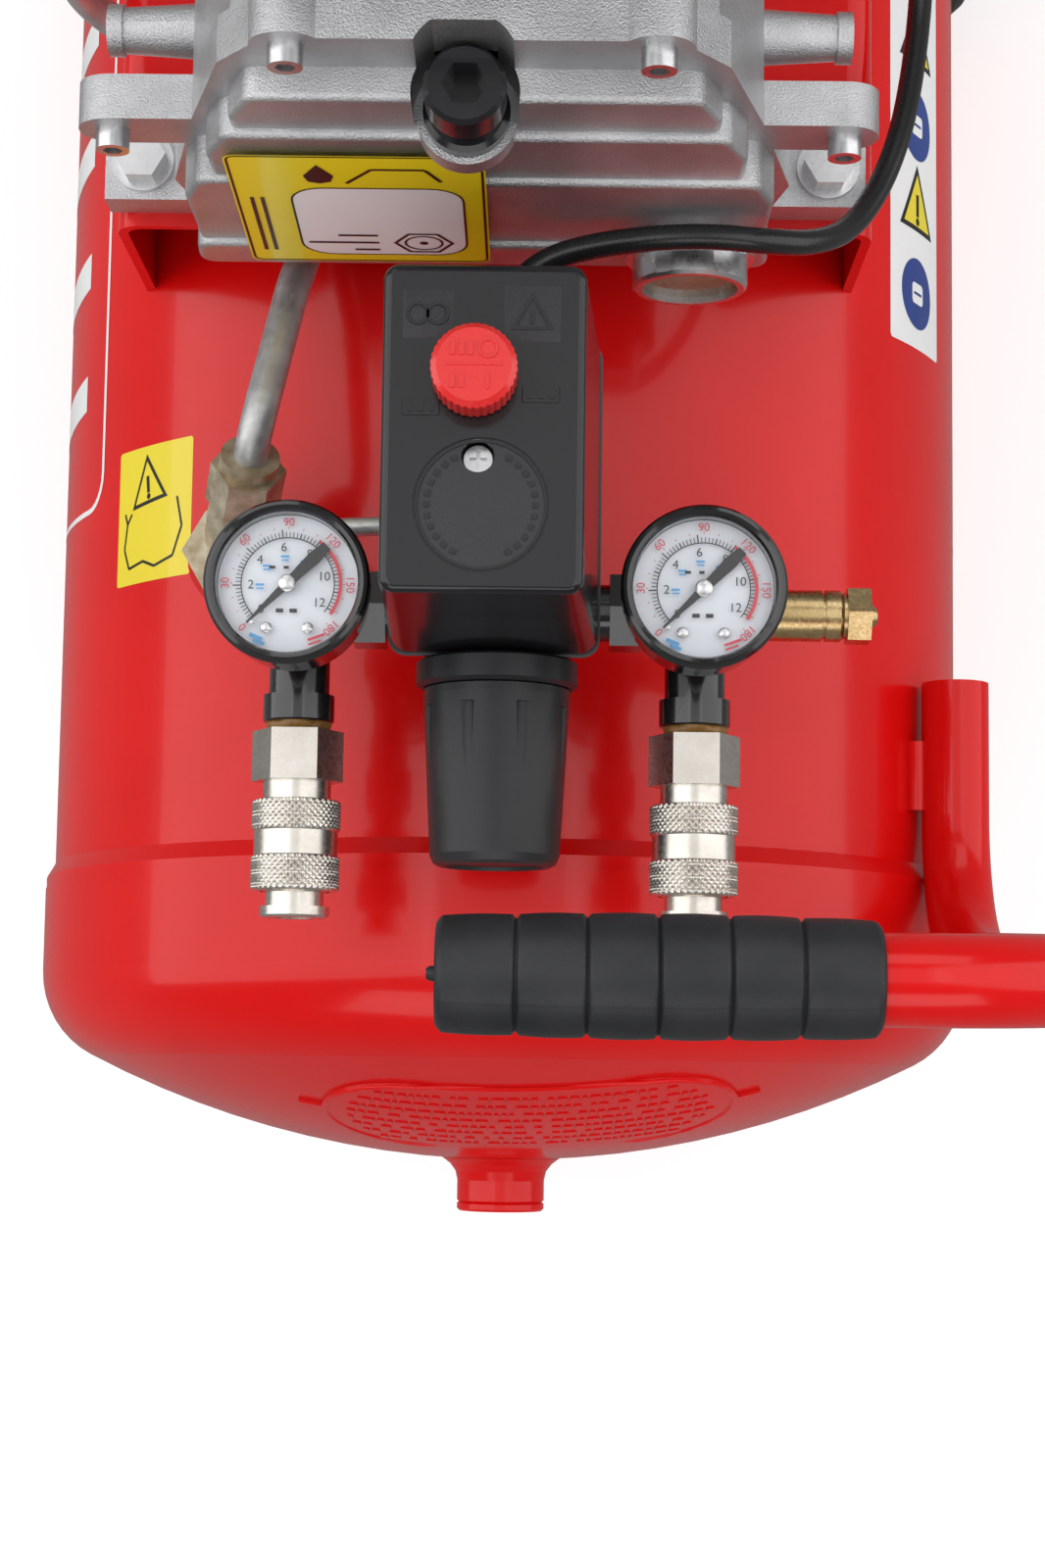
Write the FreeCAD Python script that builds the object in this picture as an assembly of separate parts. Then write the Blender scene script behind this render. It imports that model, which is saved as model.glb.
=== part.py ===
import FreeCAD, Part
import math
import os
from FreeCAD import Rotation, Vector as V

# Direct-drive oil-lubricated air compressor on a 50 litre horizontal tank.
# Row frame: +X right, +Y towards the wheels, +Z up; the floor is Z = 0.
# Most places are given as at(x, back, up): back is the distance behind the joint
# between the tank's shell and its front head, up is the height above the tank's axis.

# Tank
TANK_AXIS_Z = 240.0
FRONT_JOINT_Y = -271.25
SHELL_LENGTH = 560.0
SHELL_R = 155.0
TANK_WALL = 3.0
HEAD_R = SHELL_R + TANK_WALL
HEAD_DEPTH = 89.5
CROWN_R = 310.0
KNUCKLE_R = 31.0
HEAD_LAP = 15.0
BOSS_R = 15.0
BOSS_PROJECTION = 17.5
PORT_R = 9.3

# Running gear
WHEEL_X = 170.0
WHEEL_R = 75.0
WHEEL_WIDTH = 38.0
WHEEL_BACK = 470.0
AXLE_R = 7.5
AXLE_END_X = 193.0
RUNNING_GAP = 0.05
AXLE_Y = FRONT_JOINT_Y + WHEEL_BACK
FOOT_X = 95.0
FOOT_Y = FRONT_JOINT_Y + 49.0
FOOT_HEIGHT = 28.0
FOOT_SEAT_UP = 14.0
BRACKET_Y = FOOT_Y + 11.0
BRACKET_HALF = 120.0
BRACKET_DEPTH = 18.0

# Handle
HANDLE_TUBE_R = 10.65
HANDLE_WALL = 2.0
HANDLE_X = 144.4
HANDLE_UP = 84.0
GRIP_BACK = -38.0
GRIP_UP = 331.0
GRIP_LEFT_X = -10.0
GRIP_RIGHT_X = 89.5
GRIP_GROOVES = 5
GRIP_END_BAND = 17.9

# Pump and motor, on one shaft along Y
PUMP_X = -6.0
SHAFT_UP = 245.0
PLATFORM_UP = 170.0
PLATFORM_X = -3.5
PLATFORM_WIDTH = 223.0
FLANGE_BACK = 190.0
COVER_FLANGE = 5.0
THROW = 20.0
ROD_LENGTH = 85.0
BORE_R = 21.0
CYLINDER_BACK = 258.0
CYLINDER_FOOT_UP = 314.0
CYLINDER_TOP_UP = 366.0
PUMP_TOP_UP = 410.0
MOTOR_FRONT_BACK = 300.0
MOTOR_REAR_BACK = 440.0
MOTOR_R = 66.0
SHAFT_R = 8.0

# Air manifold, switch and fittings
MANIFOLD_BACK = 68.0
MANIFOLD_UP = 195.0
MANIFOLD_R = 8.0
GAUGE_X = 55.0
GAUGE_FACE_UP = 239.0
BEZEL_R = 22.0
SWITCH_X = -2.5
SWITCH_TOP_UP = 280.0
SWITCH_RIM_UP = 205.0
KNOB_R = 10.75
COUPLER_REAR_BACK = 33.5
COUPLER_BORE_R = 5.2
COUPLER_BORE_DEPTH = 22.0
POINTER_ZERO = 45.0
SWITCH_KNOB = (-5.0, 112.5)
SWITCH_SCREW = (-4.0, 92.5)
SWITCH_DISC = (-3.0, 80.0)

# Fasteners and fittings on the pump, as (x, back, up) or (x from the pump's middle, up)
BOLT_HOLE_R = 4.2
SCREW_HOLE_R = 2.55
STUD_X = 38.0
STUD_PLACES = [(-STUD_X, -STUD_X), (-STUD_X, STUD_X), (STUD_X, -STUD_X), (STUD_X, STUD_X)]
FOOT_BOLT_X = 99.0
FOOT_BOLT_BACK = 201.0
COVER_OUTLINE = [(-80, 187), (80, 187), (85, 214), (74, 262), (63, 300), (50, 316), (-50, 316), (-63, 300),
                 (-74, 262), (-85, 214)]
COVER_SCREWS = [(-96, 252), (96, 252), (-45, 311), (45, 311)]
EAR_R = 9.0
OIL_PLUG = (-8.0, 179.0, 282.0)
SIGHT_GLASS = (52.5, 172.0, 200.0)

# Delivery line
CHECK_VALVE_TOP = (-72.0, 115.0, 180.0)
CHECK_VALVE_FOOT = (-80.5, 92.0, 147.0)
DELIVERY_R = 5.0

# Motor lead
LEAD_R = 3.5
LEAD_ROUTE = [(4, 150, 212), (4, 157, 212), (12, 163.5, 213.5), (24, 166, 218), (40, 166.5, 224),
              (57, 166.5, 226.5), (73, 166, 223.5), (87, 169.5, 212), (98, 178.5, 197), (107, 193, 187),
              (114, 211, 180), (119, 233, 171), (123, 260, 161), (124.5, 288, 158), (121.5, 316, 165),
              (114, 341, 184), (105, 358, 202), (100, 374, 212), (100, 389, 212)]

X_AXIS = V(1, 0, 0)
REAR = V(0, 1, 0)
FRONT = V(0, -1, 0)
UP = V(0, 0, 1)
DOWN = V(0, 0, -1)
LEFT = V(-1, 0, 0)
CHECK_VALVE_AXIS = (V(*CHECK_VALVE_TOP) - V(*CHECK_VALVE_FOOT)).normalize()


def at(x, back, up):
    """Point at x, back behind the front head joint and up above the tank's axis."""
    return V(x, FRONT_JOINT_Y + back, TANK_AXIS_Z + up)


def cyl(radius, length, base, axis):
    return Part.makeCylinder(radius, length, base, axis)


def ring(outer, inner, length, base, axis):
    return cyl(outer, length, base, axis).cut(cyl(inner, length, base, axis))


def placed(shape, base, axis):
    """The shape moved from the origin and +Z to base and axis."""
    shape.Placement = FreeCAD.Placement(base, Rotation(UP, axis))
    return shape


def turned(profile, base, axis):
    """Solid of revolution from a closed outline of (along, radius) pairs."""
    points = [V(radius, 0, along) for along, radius in profile]
    solid = Part.Face(Part.makePolygon(points + points[:1])).revolve(V(0, 0, 0), UP, 360)
    if solid.Volume < 0:
        solid.reverse()
    return placed(solid, base, axis)


def hexagon(across_flats, length, base, axis, start_angle=0.0):
    corner_r = across_flats / math.sqrt(3)
    angles = [math.radians(start_angle + 60 * i) for i in range(7)]
    outline = Part.makePolygon([V(corner_r * math.cos(a), corner_r * math.sin(a), 0) for a in angles])
    return placed(Part.Face(outline).extrude(V(0, 0, length)), base, axis)


def box(low, high):
    return Part.makeBox(high.x - low.x, high.y - low.y, high.z - low.z, low)


def bar(x_range, back_range, up_range):
    """Box between two values of x, back and up."""
    return box(at(x_range[0], back_range[0], up_range[0]), at(x_range[1], back_range[1], up_range[1]))


def slab(outline, back_start, back_end, centre_x=PUMP_X):
    """Plate with an outline of (x, up) corners, between two distances back."""
    points = [at(centre_x + x, back_start, up) for x, up in outline]
    face = Part.Face(Part.makePolygon(points + points[:1]))
    return face.extrude(V(0, back_end - back_start, 0))


def edges_along(shape, axis):
    """Straight edges parallel to axis."""
    straight = [edge for edge in shape.Edges if isinstance(edge.Curve, Part.Line)]
    return [edge for edge in straight if abs(edge.tangentAt(edge.FirstParameter).dot(axis)) > 0.999]


def edges_near(shape, axis, place):
    """Edges whose centre lies at the same distance along axis as place."""
    return [edge for edge in shape.Edges if abs((edge.CenterOfMass - place).dot(axis)) < 1e-3]


def fused(shapes):
    return shapes[0].multiFuse(shapes[1:]).removeSplitter()


def without(shape, *others):
    """The shape less what other solids occupy."""
    for other in others:
        shape = shape.cut(other)
    return shape


def mirrored_x(shape):
    return shape.mirror(V(0, 0, 0), X_AXIS)


def path_of(points, bend_radii):
    """Wire of straight runs joined by tangent arcs of the given radii."""
    edges = []
    start = points[0]
    for i, radius in enumerate(bend_radii, start=1):
        corner = points[i]
        to_prev = (points[i - 1] - corner).normalize()
        to_next = (points[i + 1] - corner).normalize()
        half_inner = to_prev.getAngle(to_next) / 2
        reach = radius / math.tan(half_inner)
        enter = corner + to_prev * reach
        leave = corner + to_next * reach
        bisector = (to_prev + to_next).normalize()
        middle = corner + bisector * (radius / math.sin(half_inner) - radius)
        edges.append(Part.LineSegment(start, enter).toShape())
        edges.append(Part.Arc(enter, middle, leave).toShape())
        start = leave
    edges.append(Part.LineSegment(start, points[-1]).toShape())
    return Part.Wire(edges)


def swept(path, radius):
    start = path.Edges[0]
    direction = start.tangentAt(start.FirstParameter)
    circle = Part.Wire(Part.makeCircle(radius, start.valueAt(start.FirstParameter), direction))
    return path.makePipeShell([circle], True, True)


def widest_bends(points):
    """Bend radii as large as the runs allow: 0.45 of the shorter run over tan(half turn)."""
    radii = []
    for prev, corner, following in zip(points, points[1:], points[2:]):
        turn = (corner - prev).getAngle(following - corner)
        shorter = min((corner - prev).Length, (following - corner).Length)
        radii.append(0.45 * shorter / math.tan(turn / 2))
    return radii


# ---------------------------------------------------------------- tank

def dished_outline(offset):
    """Half outline of the head, from its rim to its crown, offset inwards."""
    rim_r = HEAD_R - offset
    knuckle_r = KNUCKLE_R - offset
    crown_r = CROWN_R - offset
    knuckle_centre_r = HEAD_R - KNUCKLE_R
    crown_centre = HEAD_DEPTH - CROWN_R
    span = CROWN_R - KNUCKLE_R
    knuckle_centre = crown_centre + math.sqrt(span ** 2 - knuckle_centre_r ** 2)
    blend_angle = math.asin(knuckle_centre_r / span)

    def on_crown(angle):
        return V(crown_r * math.sin(angle), 0, crown_centre + crown_r * math.cos(angle))

    def on_knuckle(angle):
        from_axis = knuckle_centre_r + knuckle_r * math.sin(angle)
        return V(from_axis, 0, knuckle_centre + knuckle_r * math.cos(angle))

    rim = V(rim_r, 0, 0)
    shoulder = V(rim_r, 0, knuckle_centre)
    knuckle = Part.Arc(shoulder, on_knuckle((blend_angle + math.pi / 2) / 2), on_crown(blend_angle))
    crown = Part.Arc(on_crown(blend_angle), on_crown(blend_angle / 2), on_crown(0))
    return [Part.LineSegment(rim, shoulder).toShape(), knuckle.toShape(), crown.toShape()]


def dished_head():
    """Torispherical head from its rim plane at Z = 0 to its crown, with a hole for the boss."""
    def solid(offset):
        edges = dished_outline(offset)
        crown_tip = edges[-1].Vertexes[-1].Point
        rim = edges[0].Vertexes[0].Point
        axis_edge = Part.LineSegment(crown_tip, V(0, 0, 0)).toShape()
        base_edge = Part.LineSegment(V(0, 0, 0), rim).toShape()
        wire = Part.Wire(edges + [axis_edge, base_edge])
        return Part.Face(wire).revolve(V(0, 0, 0), UP, 360)
    return solid(0).cut(solid(TANK_WALL))


def tank_shell():
    """Rolled shell with holes under its three sockets."""
    start = at(0, -HEAD_LAP, 0)
    shell = ring(SHELL_R, SHELL_R - TANK_WALL, SHELL_LENGTH + 2 * HEAD_LAP, start, REAR)
    holes = [cyl(8, 30, at(0, MANIFOLD_BACK, SHELL_R - 15), UP),
             cyl(8, 40, at(CHECK_VALVE_FOOT[0], CHECK_VALVE_FOOT[1], 115), UP),
             cyl(6, 30, at(0, SHELL_LENGTH / 2, -SHELL_R - 15), UP)]
    return without(shell, *holes)


def front_head():
    head = placed(dished_head(), at(0, 0, 0), FRONT)
    return head.cut(cyl(BOSS_R, HEAD_DEPTH + 1, at(0, 0, 0), FRONT))


def rear_head():
    return placed(dished_head(), at(0, SHELL_LENGTH, 0), REAR)


def tank_heads():
    """Both heads and the weld beads that run from their rims down to the shell."""
    bead = [(0, SHELL_R), (0, HEAD_R - 0.3), (3.5, HEAD_R - 0.2), (8.5, SHELL_R)]
    return Part.makeCompound([front_head(), rear_head(), turned(bead, at(0, 0, 0), REAR),
                              turned(bead, at(0, SHELL_LENGTH, 0), FRONT)])


def front_boss():
    """Threaded port at the front crown, with a weld flare at its root and a groove near its end."""
    root = HEAD_DEPTH - 5.5
    end = HEAD_DEPTH + BOSS_PROJECTION
    flare_r = 20.5

    def crown_at(radius):
        return HEAD_DEPTH - CROWN_R + math.sqrt(CROWN_R ** 2 - radius ** 2)
    outline = [(root, PORT_R), (root, BOSS_R), (crown_at(BOSS_R), BOSS_R), (crown_at(flare_r), flare_r),
               (HEAD_DEPTH + 1.5, BOSS_R + 2.6), (HEAD_DEPTH + 4, BOSS_R + 0.7), (HEAD_DEPTH + 7, BOSS_R),
               (end - 3.6, BOSS_R), (end - 3.1, BOSS_R - 0.7), (end - 2.5, BOSS_R), (end - 0.8, BOSS_R),
               (end, BOSS_R - 0.8), (end, PORT_R)]
    return turned(outline, at(0, 0, 0), FRONT)


def data_plate():
    """Obround plate welded to the front head above the port, curved like the crown."""
    half_length = 65.0
    half_height = 31.0
    thickness = 1.2
    lift = math.radians(17.5)
    swing = math.radians(2.0)
    normal = V(math.sin(swing) * math.cos(lift), -math.cos(swing) * math.cos(lift), math.sin(lift))
    crown_centre = at(0, CROWN_R - HEAD_DEPTH, 0)
    straight = half_length - half_height
    middle = box(V(-straight, -half_height, -10), V(straight, half_height, 10))
    ends = [cyl(half_height, 20, V(sign * straight, 0, -10), UP) for sign in (-1, 1)]
    tabs = box(V(-half_length - 7, -3, -10), V(half_length + 7, 3, 10))
    prism = fused([middle, tabs] + ends)
    across = UP.cross(normal).normalize()
    facing = Rotation(across, V(), normal, "ZXY")
    prism.Placement = FreeCAD.Placement(crown_centre + normal * CROWN_R, facing)
    skin = Part.makeSphere(CROWN_R + thickness, crown_centre).cut(Part.makeSphere(CROWN_R, crown_centre))
    return prism.common(skin)


def tank_sockets():
    """Threaded sockets welded to the tank: riser, check valve, drain and the front port."""
    riser = ring(14, 8, 24, at(0, MANIFOLD_BACK, SHELL_R - 8), UP)
    drain = ring(11, 6, 14, at(0, SHELL_LENGTH / 2, -SHELL_R - 5), UP)
    valve = ring(14, 8, 42, at(CHECK_VALVE_FOOT[0], CHECK_VALVE_FOOT[1], 100), UP)
    inside = cyl(SHELL_R, 2 * SHELL_LENGTH, at(0, -100, 0), REAR)
    return Part.makeCompound([solid.cut(inside) for solid in (riser, drain, valve)] + [front_boss()])


# ---------------------------------------------------------------- platform, feet and wheels

def tank_body():
    """Solid the size of the shell's outside, used to seat brackets on it."""
    return cyl(SHELL_R, SHELL_LENGTH, at(0, 0, 0), REAR)


def pump_platform():
    """Folded sheet bridge welded to the top of the tank, open at both ends."""
    def folded(inset, fold_r):
        half = PLATFORM_WIDTH / 2 - inset
        top = PLATFORM_UP - inset
        block = bar((PLATFORM_X - half, PLATFORM_X + half), (186, 520), (90, top))
        folds = [e for e in edges_along(block, REAR) if e.CenterOfMass.z > TANK_AXIS_Z + top - 1]
        return block.makeFillet(fold_r, folds)
    holes = [cyl(BOLT_HOLE_R, 10, at(PUMP_X + x, FOOT_BOLT_BACK, PLATFORM_UP - 6), UP)
             for x in (-FOOT_BOLT_X, FOOT_BOLT_X)]
    tube_slot = cyl(9, 20, at(PLATFORM_X - PLATFORM_WIDTH / 2 - 8, 252, 152), X_AXIS)
    return without(folded(0, 8), folded(3, 5), tank_body(), tube_slot, *holes)


def front_foot_bracket():
    """Sheet web across the front of the tank with a flange for the two rubber feet."""
    def plate(x_low, x_high, half_depth, top):
        return box(V(x_low, BRACKET_Y - half_depth, FOOT_HEIGHT), V(x_high, BRACKET_Y + half_depth, top))
    web = plate(-BRACKET_HALF, BRACKET_HALF, 2, 175)
    flange = plate(-BRACKET_HALF, BRACKET_HALF, BRACKET_DEPTH, FOOT_HEIGHT + 3)
    arch = plate(-70, 70, BRACKET_DEPTH, FOOT_HEIGHT + 22)
    sides = [plate(x - 2, x + 2, BRACKET_DEPTH, FOOT_HEIGHT + 40) for x in (-118, -72, 72, 118)]
    holes = [cyl(BOLT_HOLE_R, 12, V(x, FOOT_Y, FOOT_HEIGHT - 5), UP) for x in (-FOOT_X, FOOT_X)]
    return without(fused([web.cut(arch), flange.cut(arch)] + sides), tank_body(), *holes)


def front_feet():
    """Rubber buffers under the front bracket, each with a seat for its bolt."""
    outline = [(0, 0), (0, 17), (3, 18), (FOOT_HEIGHT - 3, 15), (FOOT_HEIGHT, 14.5), (FOOT_HEIGHT, 4),
               (FOOT_SEAT_UP, 4), (FOOT_SEAT_UP, 0)]
    return Part.makeCompound([turned(outline, V(x, FOOT_Y, 0), UP) for x in (-FOOT_X, FOOT_X)])


def front_foot_bolts():
    bolts = []
    for x in (-FOOT_X, FOOT_X):
        base = V(x, FOOT_Y, FOOT_SEAT_UP)
        bolts.append(fused([cyl(4, 17, base, UP), hexagon(13, 6, base + V(0, 0, 17), UP)]))
    return bolts


def axle_bracket():
    """Two welded cheeks and a cross web that carry the axle under the rear of the tank."""
    def plate(x_low, x_high, near, far):
        return box(V(x_low, AXLE_Y + near, WHEEL_R - 15), V(x_high, AXLE_Y + far, 180))
    cheeks = [plate(-118, -114, -26, 26), plate(114, 118, -26, 26)]
    web = plate(-116, 116, 22, 26)
    axle_hole = cyl(AXLE_R, 300, V(-150, AXLE_Y, WHEEL_R), X_AXIS)
    return without(fused(cheeks + [web]), tank_body(), axle_hole)


def tank_brackets():
    return Part.makeCompound([front_foot_bracket(), axle_bracket()])


def wheel_axle():
    """Axle, and a washer inside each wheel and domed push-on cap outside it."""
    centre = V(0, AXLE_Y, WHEEL_R)
    inner_x = WHEEL_X - WHEEL_WIDTH / 2
    outer_x = WHEEL_X + WHEEL_WIDTH / 2
    cap = [(outer_x + 0.5, AXLE_R), (outer_x + 0.5, 13), (outer_x + 3, 13), (outer_x + 5.5, 9),
           (outer_x + 6, 0), (AXLE_END_X, 0), (AXLE_END_X, AXLE_R)]
    pieces = [cyl(AXLE_R, 2 * AXLE_END_X, V(-AXLE_END_X, AXLE_Y, WHEEL_R), X_AXIS)]
    for axis in (X_AXIS, LEFT):
        pieces.append(turned(cap, centre, axis))
        pieces.append(ring(12, AXLE_R, 2.5, centre + axis * (inner_x - 3), axis))
    return Part.makeCompound(pieces)


def wheel_rim():
    """Moulded rim of the right wheel: hub, web with holes and tyre seat."""
    half = WHEEL_WIDTH / 2
    bore = AXLE_R + RUNNING_GAP
    outline = [(-half, bore), (-half, 17), (-4, 20), (-4, 48), (-half + 3, 50), (-half + 3, 56),
               (half - 3, 56), (half - 3, 50), (4, 48), (4, 20), (half, 17), (half, bore)]
    base = V(WHEEL_X, AXLE_Y, WHEEL_R)
    rim = turned(outline, base, X_AXIS)
    for i in range(6):
        angle = math.radians(60 * i)
        centre = base + V(-half, 34 * math.cos(angle), 34 * math.sin(angle))
        rim = rim.cut(cyl(8, WHEEL_WIDTH, centre, X_AXIS))
    return rim


def wheel_tyre():
    """Solid rubber tyre of the right wheel with two tread grooves."""
    half = WHEEL_WIDTH / 2
    outline = [(-half + 3, 56), (-half, 60), (-half, 69), (-half + 5, 73.5), (-7, WHEEL_R), (-6, 73),
               (-4, 73), (-3, WHEEL_R), (3, WHEEL_R), (4, 73), (6, 73), (7, WHEEL_R), (half - 5, 73.5),
               (half, 69), (half, 60), (half - 3, 56)]
    return turned(outline, V(WHEEL_X, AXLE_Y, WHEEL_R), X_AXIS)


def drain_valve_body():
    base = at(0, SHELL_LENGTH / 2, -SHELL_R - 5)
    outline = [(0, 0), (0, 9), (12, 9), (12, 7), (16, 7), (16, 3.05), (6, 3.05), (6, 0)]
    return turned(outline, base, DOWN).cut(cyl(1.5, 30, base + V(0, 0, -9), X_AXIS))


def drain_valve_knob():
    """Wing screw that opens the drain."""
    base = at(0, SHELL_LENGTH / 2, -SHELL_R - 5)
    stem = cyl(3.0, 12.5, base + V(0, 0, -7), DOWN)
    disc = cyl(8, 7, base + V(0, 0, -16.5), DOWN)
    wing = box(base + V(-12, -2, -28), base + V(12, 2, -17))
    return fused([stem, disc, wing])


# ---------------------------------------------------------------- handle

def handle_points():
    return [at(HANDLE_X, 66, HANDLE_UP), at(HANDLE_X, -24, HANDLE_UP), at(HANDLE_X, GRIP_BACK, GRIP_UP),
            at(GRIP_LEFT_X + 6, GRIP_BACK, GRIP_UP)]


def handle_tube():
    """Bent tube and the bead that welds it to the side of the tank."""
    path = path_of(handle_points(), [50, 46])
    tube = swept(path, HANDLE_TUBE_R).cut(swept(path, HANDLE_TUBE_R - HANDLE_WALL))
    return Part.makeCompound([tube, handle_weld()])


def handle_grip():
    """Slip-on rubber grip: six soft bands between five grooves, closed at its left end."""
    length = GRIP_RIGHT_X - GRIP_LEFT_X
    pitch = (length - 2 * GRIP_END_BAND) / (GRIP_GROOVES - 1)
    start = at(GRIP_LEFT_X, GRIP_BACK, GRIP_UP)

    def radius(along):
        return 12.9 + 1.05 * math.sin(math.pi * along / length)
    outline = [(0, 0), (0, 10.5), (1.2, 12.3)]
    for i in range(GRIP_GROOVES):
        groove = GRIP_END_BAND + pitch * i
        floor_r = radius(groove) - 0.9
        outline += [(groove - pitch / 2, radius(groove - pitch / 2) + 0.1), (groove - 0.9, radius(groove)),
                    (groove - 0.3, floor_r), (groove + 0.3, floor_r), (groove + 0.9, radius(groove))]
    outline += [(length - 9, radius(length - 9) + 0.1), (length - 1.2, 12.9), (length, 11.9),
                (length, HANDLE_TUBE_R), (6, HANDLE_TUBE_R), (6, 0)]
    return fused([turned(outline, start, X_AXIS), cyl(1.6, 2.2, start, LEFT)])


def handle_weld():
    bead = cyl(3.8, 22, at(HANDLE_X - HANDLE_TUBE_R - 1.55, 25, HANDLE_UP), REAR)
    return bead.cut(tank_body()).cut(cyl(HANDLE_TUBE_R, 200, at(HANDLE_X, -60, HANDLE_UP), REAR))


# ---------------------------------------------------------------- pump

def flange_plate(back_start, back_end):
    """Joint flange shared by the crankcase and its cover, with two side ears."""
    plate = slab(COVER_OUTLINE, back_start, back_end)
    depth = back_end - back_start
    ears = [cyl(EAR_R, depth, at(PUMP_X + x, back_start, up), REAR) for x, up in COVER_SCREWS]
    bridge = bar((PUMP_X - 96, PUMP_X + 96), (back_start, back_end), (243, 261))
    return fused([plate, bridge] + ears)


def screw_holes(back_start, back_end):
    depth = back_end - back_start
    return [cyl(SCREW_HOLE_R, depth, at(PUMP_X + x, back_start, up), REAR) for x, up in COVER_SCREWS]


def crankcase():
    """Cast aluminium case with mounting feet, oil cavity, side stubs and shaft bearing seat."""
    rear = MOTOR_FRONT_BACK
    flange = flange_plate(FLANGE_BACK, FLANGE_BACK + 7)
    body = slab([(-74, 184), (74, 184), (74, 262), (60, 300), (48, CYLINDER_FOOT_UP),
                 (-48, CYLINDER_FOOT_UP), (-60, 300), (-74, 262)], FLANGE_BACK, rear)
    feet = [bar((x - 18, x + 18), (FLANGE_BACK, 224), (PLATFORM_UP, 182))
            for x in (PUMP_X - 92, PUMP_X + 92)]
    soles = bar((PUMP_X - 75, PUMP_X + 75), (FLANGE_BACK, rear), (PLATFORM_UP, 185))
    stub = [(0, 7.5), (70, 7.5), (94, 6.0), (94, 6.8), (98, 6.8), (98, 0), (0, 0)]
    stubs = [turned(stub, at(PUMP_X, 213, 250), axis) for axis in (LEFT, X_AXIS)]
    case = fused([flange, body, soles] + feet + stubs)
    cavity = cyl(52, 90, at(PUMP_X, FLANGE_BACK, SHAFT_UP), REAR)
    throat = cyl(BORE_R + 2.5, 80, at(PUMP_X, CYLINDER_BACK, SHAFT_UP), UP)
    bearing_seat = cyl(17.5, 40, at(PUMP_X, 275, SHAFT_UP), REAR)
    bolts = [cyl(BOLT_HOLE_R, 30, at(PUMP_X + x, FOOT_BOLT_BACK, 160), UP)
             for x in (-FOOT_BOLT_X, FOOT_BOLT_X)]
    return without(case, cavity, throat, bearing_seat, *bolts, *screw_holes(FLANGE_BACK, FLANGE_BACK + 7))


def tier(half_width, top_half_width, top_up, front_back, bottom_up):
    """One step of the cover's face, with rounded edges."""
    shoulder = top_up - 14
    block = slab([(-half_width, bottom_up), (half_width, bottom_up), (half_width, shoulder),
                  (top_half_width, top_up), (-top_half_width, top_up), (-half_width, shoulder)],
                 front_back, FLANGE_BACK - COVER_FLANGE)
    block = block.makeFillet(5, edges_along(block, REAR))
    return block.makeFillet(2, edges_near(block, REAR, at(0, front_back, 0)))


def crankcase_cover():
    """Cast front cover in four steps, with a pocketed boss for the filler plug."""
    steps = [tier(62, 56, 298, 176.5, 200), tier(70, 64, 278, 174, 196), tier(79, 74, 250, 172, 192),
             tier(81, 80, 203, 170, 186)]
    flange_front = FLANGE_BACK - COVER_FLANGE
    plug = at(*OIL_PLUG)
    boss = turned([(-14, 0), (-14, 7), (-7, 12.7), (0, 12.7), (0, 0)], plug, UP)
    boss = boss.cut(bar((OIL_PLUG[0] - 30, OIL_PLUG[0] + 30), (flange_front, 260), (200, 330)))
    cover = fused([flange_plate(flange_front, FLANGE_BACK), boss] + steps)
    pocket = cyl(13.5, 60, plug, UP)
    cavity = cyl(34, 9, at(PUMP_X, FLANGE_BACK - 9, SHAFT_UP - 5), REAR)
    glass_seat = cyl(12.5, 30, at(*SIGHT_GLASS) - V(0, 3, 0), REAR)
    plug_seat = cyl(6, 12, plug - V(0, 0, 12), UP)
    return without(cover, pocket, cavity, glass_seat, plug_seat, *screw_holes(flange_front, FLANGE_BACK))


def socket_screw(head_r, head_length, shank_r, shank_length, base, axis):
    """Socket-head screw: base is under the head, axis points out of the head."""
    head = cyl(head_r, head_length, base, axis)
    socket = hexagon(head_r * 1.05, head_length * 0.55, base + axis * (head_length * 0.45), axis)
    return fused([head, cyl(shank_r, shank_length, base, axis * -1)]).cut(socket)


def machine_screws():
    """Socket screws of the front cover and the cylinder head, and the switch cover's cross-head screw."""
    screws = [socket_screw(4.4, 5.5, 2.5, 11.5, at(PUMP_X + x, FLANGE_BACK - COVER_FLANGE, up), FRONT)
              for x, up in COVER_SCREWS]
    return Part.makeCompound(screws + head_bolts() + [switch_screw()])


def foot_bolts():
    """Zinc bolts: two flanged ones through the pump's feet and one through each rubber foot."""
    bolts = front_foot_bolts()
    for x in (-FOOT_BOLT_X, FOOT_BOLT_X):
        base = at(PUMP_X + x, FOOT_BOLT_BACK, 182)
        head = hexagon(13, 6.5, base + V(0, 0, 2), UP)
        bolts.append(fused([cyl(9, 2, base, UP), head, cyl(4, 16, base, DOWN)]))
    return Part.makeCompound(bolts)


def oil_filler_plug():
    """Black breather plug with a hexagonal recess in its cap."""
    outline = [(-12, 0), (-12, 6), (0, 6), (0, 11), (3.5, 11), (4.5, 9.6), (6, 8.8), (10, 8.8), (11, 10.2),
               (20.5, 10.2), (22, 9.2), (22, 0)]
    return turned(outline, at(*OIL_PLUG), UP).cut(hexagon(10, 7, at(*OIL_PLUG) + V(0, 0, 15), UP))


def sight_glass_ring():
    """Hexagonal plated body of the oil sight glass."""
    face = at(*SIGHT_GLASS) - V(0, 2, 0)
    outline = [(-9, 9), (-9, 12.5), (0, 12.5), (0, 18), (3, 18), (3, 16.2), (9.5, 16.2), (10.5, 15.2),
               (10.5, 13.4), (6, 13.4), (6, 9)]
    hex_limit = hexagon(32, 30, face + V(0, 14, 0), FRONT, 30)
    return fused([turned(outline, face, FRONT).common(hex_limit), ring(18, 12.5, 2.2, face, FRONT)])


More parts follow.
